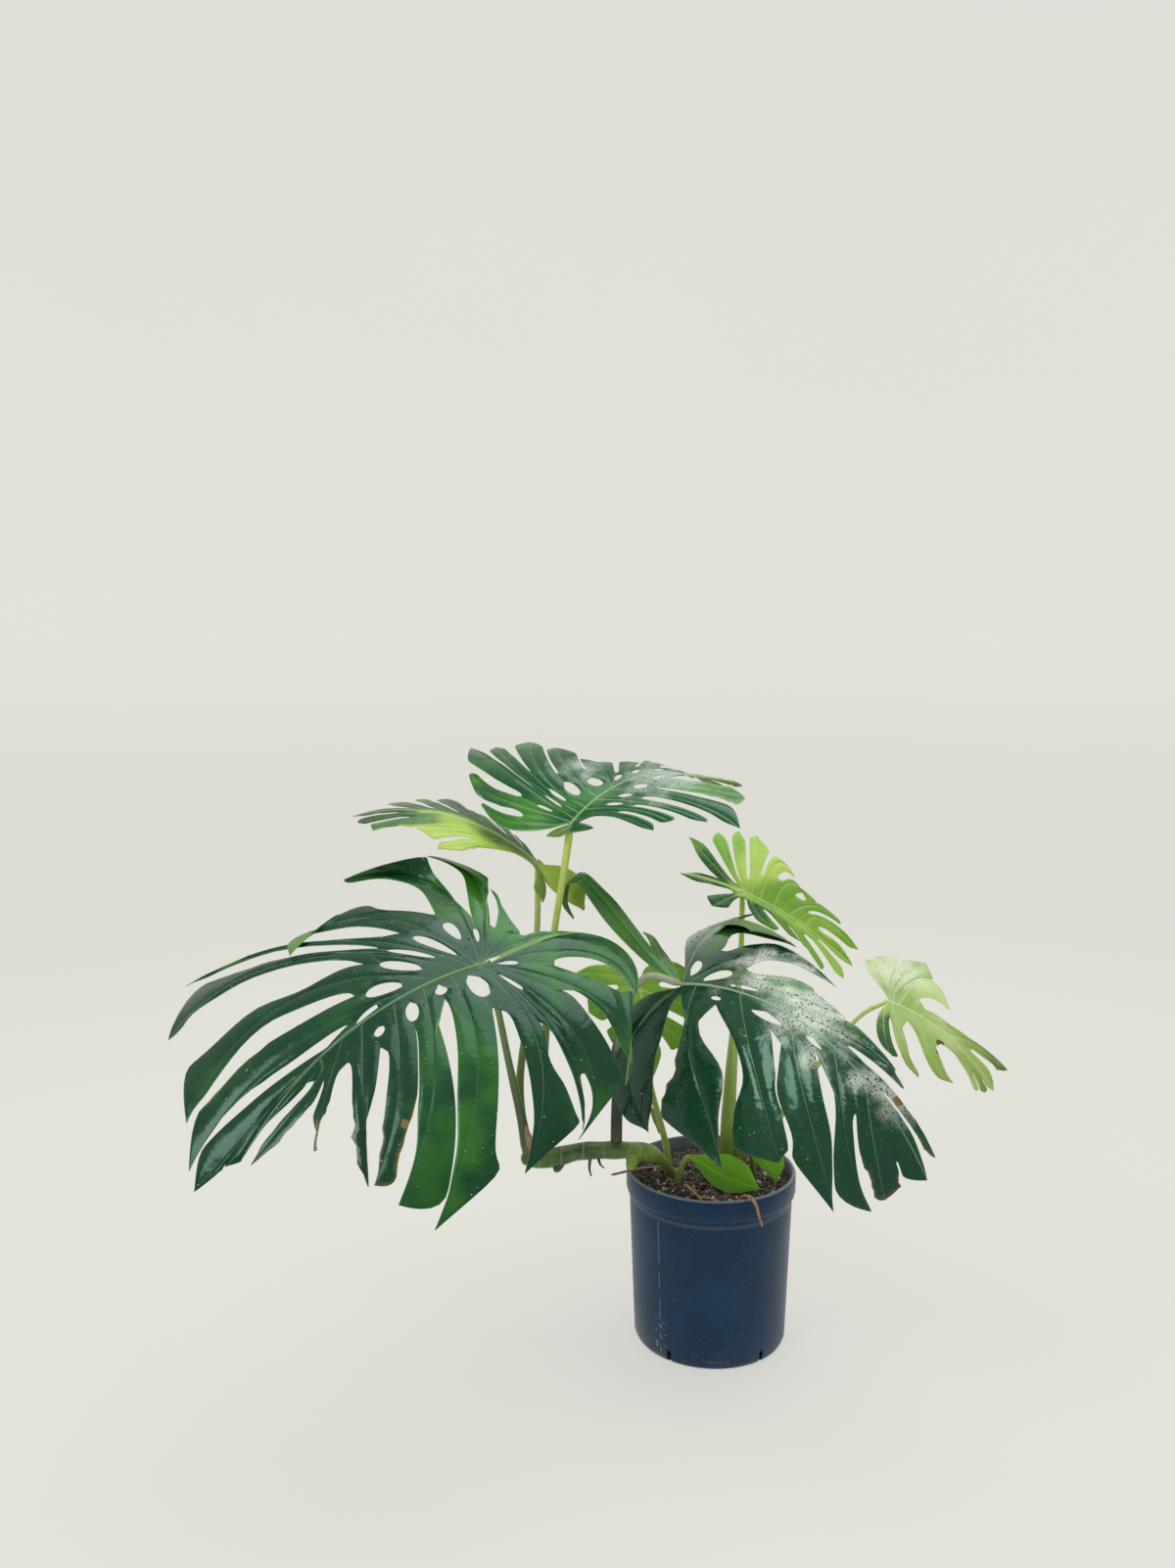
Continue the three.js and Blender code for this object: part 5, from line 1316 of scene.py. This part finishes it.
# %% Leaf stalks
STALKS = {
    "leaf_a": {
        "points": [[-284, -52, 308], [-292, -74, 370], [-309, -120, 479], [-322, -160, 572],
                   [-334, -200, 649]],
        "radii": [9, 7, 5.5, 5, 5.5], "low": (48, 76, 34), "high": (120, 150, 84),
    },
    "leaf_b": {
        "points": [[-262, -46, 308], [-262, -20, 420], [-254, -4, 560], [-245, 0, 649],
                   [-229, 0, 749], [-220, 0, 814]],
        "radii": [9, 7, 6, 5.5, 5.5, 6], "low": (56, 86, 34), "high": (188, 210, 104),
    },
    "leaf_c": {
        "points": [[-288, -40, 306], [-300, 0, 400], [-286, 30, 520], [-274, 50, 638], [-273, 60, 744]],
        "radii": [8, 6.5, 5.5, 5, 5], "low": (66, 92, 42), "high": (176, 196, 114),
    },
    # leaf_d's stalk is near black at its foot: painted shade, where the foot stands in shadow.
    "leaf_d": {
        "points": [[-150, -48, 318], [-149, -42, 380], [-146, -40, 440], [-136, -46, 540],
                   [-104, -58, 592], [-53, -60, 581]],
        "radii": [9, 9, 8, 6.5, 5.5, 5.5], "low": (16, 44, 36), "high": (170, 176, 148),
    },
    "leaf_e": {
        "points": [[24, 12, 228], [27, 15, 290], [31, 22, 376], [48, 110, 466], [72, 230, 572],
                   [74, 240, 664]],
        "radii": [13, 12, 9, 6, 5, 4.5], "low": (124, 152, 62), "high": (166, 196, 92),
    },
    "leaf_f": {
        "points": [[66, 52, 228], [110, 56, 320], [180, 60, 420], [248, 60, 500], [287, 60, 521]],
        "radii": [8, 6.5, 5, 4, 4], "low": (156, 168, 80), "high": (190, 206, 124),
    },
    "leaf_j": {
        "points": [[-64, 0, 228], [-70, 10, 300], [-92, 30, 385], [-108, 70, 470], [-112, 100, 546]],
        "radii": [6.5, 5.5, 4.5, 4, 4], "low": (150, 164, 76), "high": (170, 196, 90),
    },
}


def add_stalk(node, stalk, **shape):
    """One stalk, coloured from its low end to its high end."""
    green = stalk_material(node + "_stalk_green", stalk["low"], stalk["high"])
    settle(tube_object(node + "_stalk", [stalk], green, wobble=0.05, inset=0.1, **shape), node)


for node, stalk in STALKS.items():
    add_stalk(node, stalk, corners=20, groove=0.22, rings=60)

# %% [markdown]
# The base of a stalk is wrapped by a sheath that dries to brown paper, and the two young leaves by
# the rim are still folded. All of them are straps: narrow blades along a path. The paper is streaked
# along its grain, so its noise is drawn out along the height.

# %% Sheaths
SHEATHS = {
    "leaf_a": {
        "points": [[-276, -60, 312], [-282, -74, 336], [-287, -84, 372]],
        "left_widths": [5, 8, 6, 2], "right_widths": [4, 6, 5, 2], "side": [0.8, -0.4, 0.2], "cup": 0.3,
    },
    "leaf_e": {
        "points": [[45, 2, 262], [46, 6, 310], [36, 16, 378]],
        "left_widths": [18, 16, 10, 4], "right_widths": [12, 10, 8, 3], "side": [-1, 0, 0], "cup": -0.2,
    },
    "leaf_j": {
        "points": [[-78, 18, 318], [-88, 22, 342], [-99, 26, 368]],
        "left_widths": [4, 6, 4, 1], "right_widths": [4, 5, 4, 1], "side": [0.8, -0.5, 0.3], "cup": 0.3,
    },
}


def papery_material(name, first, second):
    """Dry sheath or root: streaks of two browns along the grain, and dark spots."""
    material, tree, shader, place = new_material(name)
    streaks = streaks_along(tree, place, (420.0, 420.0, 30.0), 4.0)
    body = blend_colours(tree, fade(tree, streaks, 0.35, 0.65), first, second)
    body = lay_over(tree, body, patches(tree, place, 180.0, 3.0, 0.6, 0.7), 0.5, colour(60, 44, 30))
    feed(tree, shader, {"Base Color": body, "Roughness": times(tree, streaks, 0.3, 0.5)})
    add_bump(tree, shader, streaks, 0.0008)
    return material


def add_strap(node, name, strap, material):
    """A strap that is a piece of its own."""
    piece = join_parts(name, [strap_parts(strap)])
    piece.data.materials.append(material)
    settle(piece, node)


dry = papery_material("dry_sheath", colour(112, 82, 50), colour(168, 138, 92))
half_dry = papery_material("young_sheath", colour(112, 124, 62), colour(158, 148, 88))
for node, strap in SHEATHS.items():
    add_strap(node, node + "_sheath", strap, dry if node == "leaf_a" else half_dry)

# %% Young blades
YOUNG_BLADES = {
    "young_leaf_1": {
        "points": [[-39, -40, 305], [-16, -46, 294], [12, -58, 281], [38, -68, 275], [66, -76, 268]],
        "left_widths": [2, 16, 32, 34, 26, 2], "right_widths": [2, 10, 18, 20, 14, 2],
        "side": [0.15, 0.55, 0.82], "cup": -0.15,
    },
    "young_leaf_2": {
        "points": [[54, -30, 324], [70, -34, 306], [88, -44, 286], [97, -48, 266]],
        "left_widths": [2, 14, 26, 24, 2], "right_widths": [2, 10, 12, 8, 2],
        "side": [0.7, 0.3, 0.6], "cup": -0.15,
    },
}
YOUNG_GREENS = {"low": (110, 124, 62), "high": (150, 166, 84)}
YOUNG_STALKS = {
    "young_leaf_1": {"points": [[-56, -28, 236], [-52, -34, 270], [-44, -38, 296], [-36, -41, 306]],
                     "radii": [7, 6, 5, 4], **YOUNG_GREENS},
    "young_leaf_2": {"points": [[68, -6, 236], [64, -14, 276], [59, -24, 306], [56, -30, 322]],
                     "radii": [5, 5, 4, 3.5], **YOUNG_GREENS},
}
for node, strap in YOUNG_BLADES.items():
    add_strap(node, node + "_blade", strap, leaf_material(node + "_green", LOOKS["tender"]))
    add_stalk(node, YOUNG_STALKS[node])

# %% [markdown]
# The cane is the creeping stem. It is thick, ringed where old leaves have fallen off, and gives short
# aerial roots. It could be modelled as a plain tube, but the rings make it read as a cane: so its
# radius profile swells and narrows at every joint, and its material has pale rings, mottled green and
# a brighter bud.

# %% Cane
CANE = {
    "points": [
        [-50, 6, 228], [-62, -8, 264], [-84, -30, 298], [-108, -46, 314], [-132, -50, 318],
        [-166, -50, 318], [-205, -50, 316], [-250, -50, 306], [-296, -50, 305],
    ],
    "radii": [7, 7, 6.5, 6.5, 8.5, 13, 13.5, 12.5, 14, 12.8, 13.8, 13.2, 14.5, 15, 14, 9],
}
CANE_GROWTH = [
    {"points": [[-110, -56, 312], [-122, -58, 316], [-138, -56, 318]], "radii": [6, 15, 16, 15, 6]},
    {"points": [[-128, -72, 300], [-126, -76, 312], [-125, -78, 322]], "radii": [8, 9, 6]},
    {"points": [[-190, -52, 306], [-191, -60, 292], [-188, -64, 282]], "radii": [2.6, 2, 1.2]},
    {"points": [[-236, -48, 300], [-240, -54, 291], [-246, -56, 288]], "radii": [9, 7, 4]},
    {"points": [[-178, -48, 306], [-174, -58, 298], [-168, -62, 294]], "radii": [2.4, 1.8, 1]},
]
RING_SPACING = 0.0165
BUD_FADE = (-0.150, -0.128)


def cane_material():
    """Mottled green with straw streaks, pale rings and brown scars; brighter at the bud."""
    material, tree, shader, place = new_material("cane_bark")
    along = split_axes(tree, place)["X"]
    mottling = noise_value(tree, place, 40.0, 4.0)
    body = blend_colours(tree, fade(tree, mottling, 0.4, 0.62), colour(34, 72, 38), colour(72, 110, 48))
    body = lay_over(tree, body, fade(tree, along, *BUD_FADE), 0.8, colour(126, 156, 58))
    streaks = streaks_along(tree, place, (60.0, 500.0, 500.0), 3.0)
    body = lay_over(tree, body, fade(tree, streaks, 0.52, 0.7), 0.4, colour(120, 112, 72))
    ring = maths(tree, "PINGPONG", times(tree, mottling, 0.006, along), RING_SPACING)
    body = lay_over(tree, body, fade(tree, ring, 0.0028, 0.0), 0.75, colour(128, 120, 82))
    body = lay_over(tree, body, patches(tree, place, 110.0, 3.0, 0.62, 0.72), 0.6, colour(74, 52, 34))
    feed(tree, shader, {"Base Color": body, "Roughness": times(tree, mottling, 0.3, 0.16)})
    add_bump(tree, shader, times(tree, fade(tree, ring, 0.003, 0.0), 0.8, streaks), 0.0012)
    return material


bark = cane_material()
trunk = tube_object("cane_trunk", [CANE], bark, corners=32, rings=150, wobble=0.04, inset=0.05)
settle(trunk, "cane")
growth = tube_object("cane_growth", CANE_GROWTH, bark, corners=24, rings=36, wobble=0.1)
settle(growth, "cane")

# %% [markdown]
# ## Potting mix and can
# The mix is bark with some perlite and dead roots. A smooth disc with a picture of bark would look
# flat from the side, so the surface itself is uneven and a geometry tree scatters coarse chips over
# it. Each chip has only a few dozen faces, because it is repeated so often.

# %% Soil
POT = {
    "rim_diameter": 265, "base_diameter": 237, "height": 272, "wall": 3, "floor": 4, "bottom_radius": 9,
    "lip_width": 3.5, "lip_height": 34, "groove_below_top": 44,
    "notches": 5, "notch_width": 7, "notch_height": 20, "notch_depth": 14,
}
SOIL_LEVEL = 250
SOIL_CROWN = 7
SOIL_LUMPS = 7
SOIL_LUMP_WIDTH = 16
SOIL_RINGS = 44
SOIL_CORNERS = 132
BED_RINGS = 38
GAP = 0.35

# The plug's foot, clear of the can's rounded corner: wall height, distance inwards, height.
SOIL_FOOT = ((16, 4.5, 16), (8, 12, POT["floor"] + GAP))


def pot_outer_radius(z):
    """The plain outer wall's radius at a height."""
    return mix(POT["base_diameter"], POT["rim_diameter"] - 2 * POT["lip_width"], z / POT["height"]) / 2


def circle_points(radius, z, corners):
    """A level ring of points; z may be a function of x, y."""
    ring = []
    for k in range(corners):
        angle = 2 * math.pi * k / corners
        x, y = radius * math.cos(angle), radius * math.sin(angle)
        ring.append([x, y, z(x, y) if callable(z) else z])
    return ring


def soil_body(rings, corners):
    """A closed plug that fills the can, with an uneven top."""
    rim_radius = pot_outer_radius(SOIL_LEVEL) - POT["wall"] - GAP

    def top(x, y):
        inwards = 1 - math.hypot(x, y) / rim_radius
        place = Vector((x / SOIL_LUMP_WIDTH, y / SOIL_LUMP_WIDTH, 3.0))
        lumps = SOIL_LUMPS * noise.fractal(place, 0.9, 2.2, 4)
        return SOIL_LEVEL + SOIL_CROWN * (1 - (1 - inwards) ** 2) + lumps * ease(inwards, 0, 0.1)

    points, faces = [[0, 0, SOIL_LEVEL + SOIL_CROWN]], []
    for r in range(1, rings + 1):
        points += circle_points(rim_radius * r / rings, top, corners)
    for height, inset, z in SOIL_FOOT:
        points += circle_points(pot_outer_radius(height) - inset, z, corners)
    levels = rings + len(SOIL_FOOT)
    for k in range(corners):
        following = (k + 1) % corners
        faces.append([0, 1 + k, 1 + following])
        for r in range(levels - 1):
            a, b = 1 + r * corners + k, 1 + r * corners + following
            faces.append([a, a + corners, b + corners, b])
    last = 1 + (levels - 1) * corners
    faces.append([last + k for k in reversed(range(corners))])
    return points, faces


def soil_material(name, first, second, third):
    """Lumps of two tones with grains of a third, rough all over."""
    material, tree, shader, place = new_material(name)
    grains = noise_value(tree, place, 520.0, 4.0)
    lumps = patches(tree, place, 90.0, 4.0, 0.36, 0.64)
    body = blend_colours(tree, lumps, colour(*first), colour(*second))
    body = blend_colours(tree, fade(tree, grains, 0.55, 0.72), body, colour(*third))
    feed(tree, shader, {"Base Color": body, "Roughness": times(tree, grains, 0.3, 0.65)})
    add_bump(tree, shader, grains, 0.0015, 0.9)
    return material


soil_points, soil_faces = soil_body(SOIL_RINGS, SOIL_CORNERS)
soil = make_object("soil_body", soil_points, soil_faces, sharp_angle=60)
soil.data.materials.append(soil_material("potting_mix", (34, 30, 28), (66, 58, 52), (112, 102, 90)))
settle(soil, "soil")

# %% [markdown]
# One tree scatters bark chips, pale chips, perlite and, later, water drops. It spreads points over the
# faces that look up, sets a rough little block on each, and turns and sizes it at random from a fixed
# seed.

# %% The chip tree
CHIP_TILT = 0.45


def chip_tree():
    """Scatters chips over the upward faces: a rough little block, turned and sized at random."""
    tree, given = new_geometry_tree(
        "Bark chips", Density="Float", Least="Vector", Most="Vector", Seed="Int", Rise="Float",
        Lumps="Float", Flattest="Float", Material="Material")

    def random_vector(low, high):
        inputs = {0: low, 1: high, "Seed": given["Seed"]}
        return add_node(tree, "FunctionNodeRandomValue", inputs, data_type="FLOAT_VECTOR").outputs[0]

    normal = add_node(tree, "GeometryNodeInputNormal").outputs[0]
    upward = maths(tree, "GREATER_THAN", split_axes(tree, normal)["Z"], given["Flattest"])
    inputs = {"Mesh": given["Geometry"], "Density": given["Density"], "Seed": given["Seed"],
              "Selection": upward}
    spread = add_node(tree, "GeometryNodeDistributePointsOnFaces", inputs).outputs["Points"]
    inputs = {"Radius": 0.5, "Subdivisions": 2}
    chip = add_node(tree, "GeometryNodeMeshIcoSphere", inputs).outputs["Mesh"]
    spot = add_node(tree, "GeometryNodeInputPosition").outputs[0]
    inputs = {"Vector": spot, "Scale": 2.6, "Detail": 1.0}
    rough = add_node(tree, "ShaderNodeTexNoise", inputs).outputs["Color"]
    shift = vectors(tree, "SUBTRACT", rough, (0.5, 0.5, 0.5))[0]
    shift = vectors(tree, "SCALE", shift, given["Lumps"])[0]
    chip = add_node(tree, "GeometryNodeSetPosition", {"Geometry": chip, "Offset": shift}).outputs[0]
    turned = random_vector((-CHIP_TILT, -CHIP_TILT, 0.0), (CHIP_TILT, CHIP_TILT, 2 * math.pi))
    sized = random_vector(given["Least"], given["Most"])
    raised = add_node(tree, "ShaderNodeCombineXYZ", {"Z": given["Rise"]}).outputs[0]
    lifted = add_node(tree, "GeometryNodeSetPosition", {"Geometry": spread, "Offset": raised}).outputs[0]
    inputs = {"Points": lifted, "Instance": chip, "Rotation": turned, "Scale": sized}
    copies = add_node(tree, "GeometryNodeInstanceOnPoints", inputs).outputs[0]
    return end_geometry_tree(tree, copies, given["Material"])


CHIP_TREE = chip_tree()

# %% Chips and perlite
CHIPS = {
    "bark_chips": {
        "Least": (0.005, 0.004, 0.002), "Most": (0.016, 0.011, 0.006), "Density": 30000.0, "Seed": 5,
        "tones": ((44, 38, 36), (92, 80, 72), (142, 130, 116)),
    },
    "pale_chips": {
        "Least": (0.004, 0.003, 0.002), "Most": (0.014, 0.009, 0.004), "Density": 5200.0, "Seed": 11,
        "tones": ((134, 112, 88), (190, 166, 136), (216, 200, 176)),
    },
    "perlite": {
        "Least": (0.003, 0.003, 0.003), "Most": (0.007, 0.006, 0.005), "Density": 4200.0, "Seed": 23,
        "tones": ((196, 190, 176), (228, 224, 214), (240, 238, 230)),
    },
}
bed_faces = [face for face in soil_faces if max(face) <= BED_RINGS * SOIL_CORNERS]
for name, chip in CHIPS.items():
    bed = make_object(name, soil_points, bed_faces)
    run_tree(bed, CHIP_TREE, {**chip, "Rise": 0.0012, "Lumps": 0.7, "Flattest": 0.4,
                              "Material": soil_material(name + "_tone", *chip["tones"])})
    bed.data.shade_flat()
    settle(bed, "soil")

# %% [markdown]
# Some dead roots and a straight twig lie on the mix and over the rim. They are tubes like the stalks,
# thin and uneven, with the papery brown of the sheaths.

# %% Roots and twig
LITTER = [
    {"points": [[-74, 46, 252], [-118, -14, 272], [-158, -70, 287]], "radii": [1.6, 2.4, 1.6]},
    {"points": [[24, -104, 248], [38, -112, 272], [50, -136, 276], [62, -144, 240]],
     "radii": [2, 2.4, 2.4, 1.4]},
    {"points": [[-46, -24, 250], [-42, -56, 263], [-28, -84, 260], [-14, -98, 250]],
     "radii": [2.2, 2.6, 2.2, 1.8]},
    {"points": [[-34, -74, 251], [-14, -92, 260], [4, -104, 258], [16, -108, 248]],
     "radii": [2, 2.4, 2.2, 1.6]},
]
root_brown = papery_material("root_brown", colour(128, 98, 72), colour(186, 154, 120))
roots = tube_object("roots_and_twig", LITTER, root_brown, corners=12, rings=60, wobble=0.35)
settle(roots, "soil")

# %% [markdown]
# The plant was sprayed, so drops of water stand on the two big leaves. They are scattered by the same
# tree, with hardly any lumps: small flat beads on the upper faces.

# %% Water drops
DROP_BEDS = {"leaf_a": {"Density": 700.0, "Seed": 3}, "leaf_d": {"Density": 900.0, "Seed": 8}}
DROP_SHAPE = {"Least": (0.0015, 0.0015, 0.0008), "Most": (0.004, 0.004, 0.002), "Rise": 0.0004,
              "Lumps": 0.15, "Flattest": 0.25}


def water_material():
    """Drops look like the leaf below them with a painted reflection of the sky on top: green to grey,
    nearly mirror smooth.
    """
    material, tree, shader, place = new_material("water_bead")
    clear = noise_value(tree, place, 120.0, 2.0)
    body = blend_colours(tree, fade(tree, clear, 0.4, 0.6), colour(40, 84, 62), colour(124, 148, 134))
    feed(tree, shader, {"Base Color": body, "Roughness": times(tree, clear, 0.1, 0.03)})
    return material


bead = water_material()
for node, bed in DROP_BEDS.items():
    drops = add_object(node + "_drops", bpy.data.objects[node + "_blade"].data.copy())
    run_tree(drops, CHIP_TREE, {**DROP_SHAPE, **bed, "Material": bead})
    settle(drops, node)

# %% [markdown]
# The can is blown from dark blue-grey plastic: a lathe of its wall's outline with a rolled rim, a
# groove, and small drain notches cut at its foot. The satin surface has a mould seam and scuffs.

# %% The can's form
def pot_outline():
    """Radius and height down the outside, under the rim and back up the inside; few points."""
    top = POT["height"]
    groove = top - POT["groove_below_top"]
    rim = POT["rim_diameter"] / 2
    lip = top - POT["lip_height"]

    def outside(z, inset=0.0):
        return (pot_outer_radius(z) - inset, z)

    def inside(z, inset=0.0):
        return outside(z, POT["wall"] + inset)

    return [
        (0, 0), outside(0, POT["bottom_radius"]), (pot_outer_radius(3) - 2.6, 2.6),
        outside(9), outside(60), outside(120), outside(180),
        outside(groove - 4), outside(groove, 1.2), outside(groove + 4), outside(lip - 2),
        (rim - 1, lip + 1), (rim, lip + 5), (rim, top - 4),
        (rim - 1.5, top - 1), (rim - 4, top), (rim - 6.5, top - 2), (inside(lip)[0], lip - 4),
        inside(100), inside(POT["floor"] + 8), inside(POT["floor"], 8), (0, POT["floor"]),
    ]


def lathe(name, outline, corners=180):
    """Turns an outline of radii and heights round the upright axis."""
    points, faces, rings = [], [], []
    for radius, z in outline:
        first = len(points)
        if radius == 0:
            rings.append([first] * corners)
            points.append([0, 0, z])
        else:
            rings.append(list(range(first, first + corners)))
            points += circle_points(radius, z, corners)
    for lower, upper in zip(rings, rings[1:]):
        for k in range(corners):
            following = (k + 1) % corners
            face = [lower[k], lower[following], upper[following], upper[k]]
            faces.append([c for n, c in enumerate(face) if c != face[n - 1]])
    return make_object(name, points, faces, sharp_angle=50)


def cut_notch(can, angle):
    """Takes one drain notch out of the can's foot with a block that is then thrown away."""
    bpy.ops.mesh.primitive_cube_add(size=1)
    cutter = bpy.context.object
    sizes = (POT["notch_depth"], POT["notch_width"], 2 * POT["notch_height"])
    cutter.scale = [size * MM for size in sizes]
    cutter.rotation_euler = (0, 0, angle)
    reach = POT["base_diameter"] / 2 * MM
    cutter.location = (reach * math.cos(angle), reach * math.sin(angle), 0)
    bpy.context.view_layer.update()
    cut = can.modifiers.new("notch", "BOOLEAN")
    cut.operation, cut.object, cut.solver = "DIFFERENCE", cutter, "EXACT"
    keep_result(can)
    bpy.data.objects.remove(cutter)


# %% [markdown]
# The can's finish is told from its own coordinates: the seam is a direction round the axis, dirt and
# scuffs sit near the foot, the top of the rim is painted paler as a highlight, and the inside is grey.

# %% The can's finish
SCUFF = colour(132, 138, 146)
SATIN_SHEEN = (0.6, 0.85, 1.0, 1.0)
SEAM_ANGLE = (-90 - 43.5) * DEGREES

# Where each mark starts to fade in and where it is whole: angles from the seam, then metres.
SEAM_WIDTH = (0.011, 0.003)
SCUFFS_WIDTH = (0.14, 0.03)
SEAM_TOP = (0.226, 0.222)
SCUFFS_TOP = (0.08, 0.04)
DIRT_TOP = (0.03, 0.004)
RIM_PAINTED_HIGHLIGHT = (0.2685, 0.2705)
INSIDE_WALL = (0.1275, 0.1255)
INSIDE_BOTTOM = (0.22, 0.235)


def can_material():
    """Satin plastic with clouds, scratches, dust, a seam, scuffs, dirt at the foot and a painted
    highlight along the top of the rim.
    """
    material, tree, shader, place = new_material("can_plastic")
    x, y, height = split_axes(tree, place)
    radius = maths(tree, "SQRT", times(tree, x, x, maths(tree, "MULTIPLY", y, y)))
    from_seam = maths(tree, "SUBTRACT", maths(tree, "ARCTAN2", y, x), SEAM_ANGLE)
    from_seam = maths(tree, "ABSOLUTE", from_seam)
    clouds = noise_value(tree, place, 14.0, 4.0)
    body = blend_colours(tree, fade(tree, clouds, 0.35, 0.65), colour(6, 38, 70), colour(12, 46, 82))
    scratches = fade(tree, streaks_along(tree, place, (90.0, 90.0, 900.0), 5.0), 0.64, 0.74)
    body = lay_over(tree, body, scratches, 0.4, colour(120, 128, 136))
    body = lay_over(tree, body, patches(tree, place, 240.0, 5.0, 0.6, 0.75), 0.1, colour(126, 124, 116))
    inner = maths(tree, "MULTIPLY", fade(tree, radius, *INSIDE_WALL), fade(tree, height, *INSIDE_BOTTOM))
    body = lay_over(tree, body, inner, 0.75, colour(116, 118, 118))
    seam = maths(tree, "MULTIPLY", fade(tree, from_seam, *SEAM_WIDTH), fade(tree, height, *SEAM_TOP))
    worn = maths(tree, "MULTIPLY", patches(tree, place, 60.0, 5.0, 0.42, 0.58), 0.6)
    body = lay_over(tree, body, seam, worn, SCUFF)
    rubbed = patches(tree, place, 190.0, 6.0, 0.54, 0.66)
    scuffs_foot = fade(tree, height, *SCUFFS_TOP)
    scuffs = maths(tree, "MULTIPLY", fade(tree, from_seam, *SCUFFS_WIDTH), scuffs_foot)
    body = lay_over(tree, body, scuffs, rubbed, SCUFF)
    dirt = maths(tree, "MULTIPLY", fade(tree, height, *DIRT_TOP), rubbed)
    body = lay_over(tree, body, dirt, 0.7, colour(92, 80, 68))
    # Painted highlight: the top of the rim is made paler.
    body = lay_over(tree, body, fade(tree, height, *RIM_PAINTED_HIGHLIGHT), 0.7, colour(128, 138, 146))
    feed(tree, shader, {"Base Color": body, "Roughness": times(tree, clouds, 0.25, 0.24),
                        "Specular IOR Level": 0.4, "Specular Tint": SATIN_SHEEN})
    add_bump(tree, shader, times(tree, seam, 2.0, clouds), 0.0005)
    return material


can = lathe("can_shell", pot_outline())
can.data.materials.append(can_material())
for k in range(POT["notches"]):
    cut_notch(can, -math.pi / 2 + (k + 0.5) * 2 * math.pi / POT["notches"])
settle(can, "pot")

# %% [markdown]
# ## Light and camera
# The picture has an even pale ground and soft light from above. A round floor that curves up into a
# wall on every side gives the same pale ground in every view. It glows a little, so that it hardly
# shows a shadow, and two broad lamps, one above and a weaker one at the side, shape the leaves.

# %% Floor and wall
PALE = colour(224, 224, 218)
FLOOR_RADIUS = 4200
WALL_RADIUS = 5400
WALL_TOP = 5000
FRONT_FADE = (-3.6, -0.8)
WALL_FADE = (0.1, 1.2)


def backdrop_material():
    """Pale and nearly shadowless; a little dimmer in front of the plant, which keeps its gloss dark."""
    material, tree, shader, place = new_material("backdrop")
    material.cycles.emission_sampling = "NONE"
    mottling = noise_value(tree, place, 0.6)
    tone = blend_colours(tree, mottling, colour(116, 116, 112), colour(122, 122, 118))
    axes = split_axes(tree, place)
    glow = times(tree, fade(tree, axes["Y"], *FRONT_FADE), 0.205, 0.54)
    glow = times(tree, fade(tree, axes["Z"], *WALL_FADE), 0.08, glow)
    feed(tree, shader, {"Base Color": tone, "Roughness": 0.9, "Specular IOR Level": 0.0,
                        "Emission Color": PALE, "Emission Strength": glow})
    return material


def backdrop():
    """A round floor that curves up into a wall on every side."""
    bend = WALL_RADIUS - FLOOR_RADIUS
    outline = [(0, 0), (FLOOR_RADIUS / 2, 0), (FLOOR_RADIUS, 0)]
    for angle in range(10, 91, 10):
        turn = angle * DEGREES
        outline.append((FLOOR_RADIUS + bend * math.sin(turn), bend * (1 - math.cos(turn))))
    made = lathe("backdrop", outline + [(WALL_RADIUS, WALL_TOP)])
    made.data.materials.append(backdrop_material())
    return made


floor = backdrop()
print(f"backdrop: {2 * WALL_RADIUS * MM} m wide, {WALL_TOP * MM} m high")

# %% Lamps and world
LAMP_TARGET = Vector((-0.1, 0, 0.5))


def area_light(name, place, size, power):
    """A round soft lamp that looks at the plant."""
    data = bpy.data.lights.new(name, "AREA")
    data.shape, data.size, data.energy = "DISK", size, power
    light = add_object(name, data)
    light.location = place
    light.rotation_euler = (LAMP_TARGET - Vector(place)).to_track_quat("-Z", "Y").to_euler()
    print(f"{name} lamp: {size} m wide, {power} W")


area_light("sky", (0.3, 0.6, 3.6), 3.0, 52)
area_light("side", (-1.9, -1.6, 2.6), 1.3, 24)

world = bpy.data.worlds.new("overcast")
bpy.context.scene.world = world
world.use_nodes = True
sky_tree = world.node_tree
direction = add_node(sky_tree, "ShaderNodeTexCoord").outputs["Generated"]
overcast = times(sky_tree, fade(sky_tree, split_axes(sky_tree, direction)["Z"], 0.0, 0.9), 0.65, 0.5)
feed(sky_tree, sky_tree.nodes["Background"], {"Color": PALE, "Strength": overcast})
bpy.context.scene.view_settings.view_transform = "Standard"

# %% [markdown]
# The camera stands where the photograph was taken from: 1.9 m in front of the pot, 1.1 m above the
# floor and tilted down a little. Its focal length was found with the pot's rim, base and height.

# %% Camera
CAMERA_PLACE = (-0.194, -1.930, 1.083)
CAMERA_DOWN = 6.1
PHOTO_HEIGHT = 1601
FOCAL_PIXELS = 1300
SENSOR = 36
camera_data = bpy.data.cameras.new("camera")
camera_data.sensor_fit = "AUTO"
camera_data.sensor_width = SENSOR
camera_data.lens = SENSOR * FOCAL_PIXELS / PHOTO_HEIGHT
camera = add_object("camera", camera_data)
camera.location = CAMERA_PLACE
camera.rotation_euler = ((90 - CAMERA_DOWN) * DEGREES, 0, 0)
bpy.context.scene.camera = camera
print(f"camera: {camera_data.lens:.1f} mm lens")
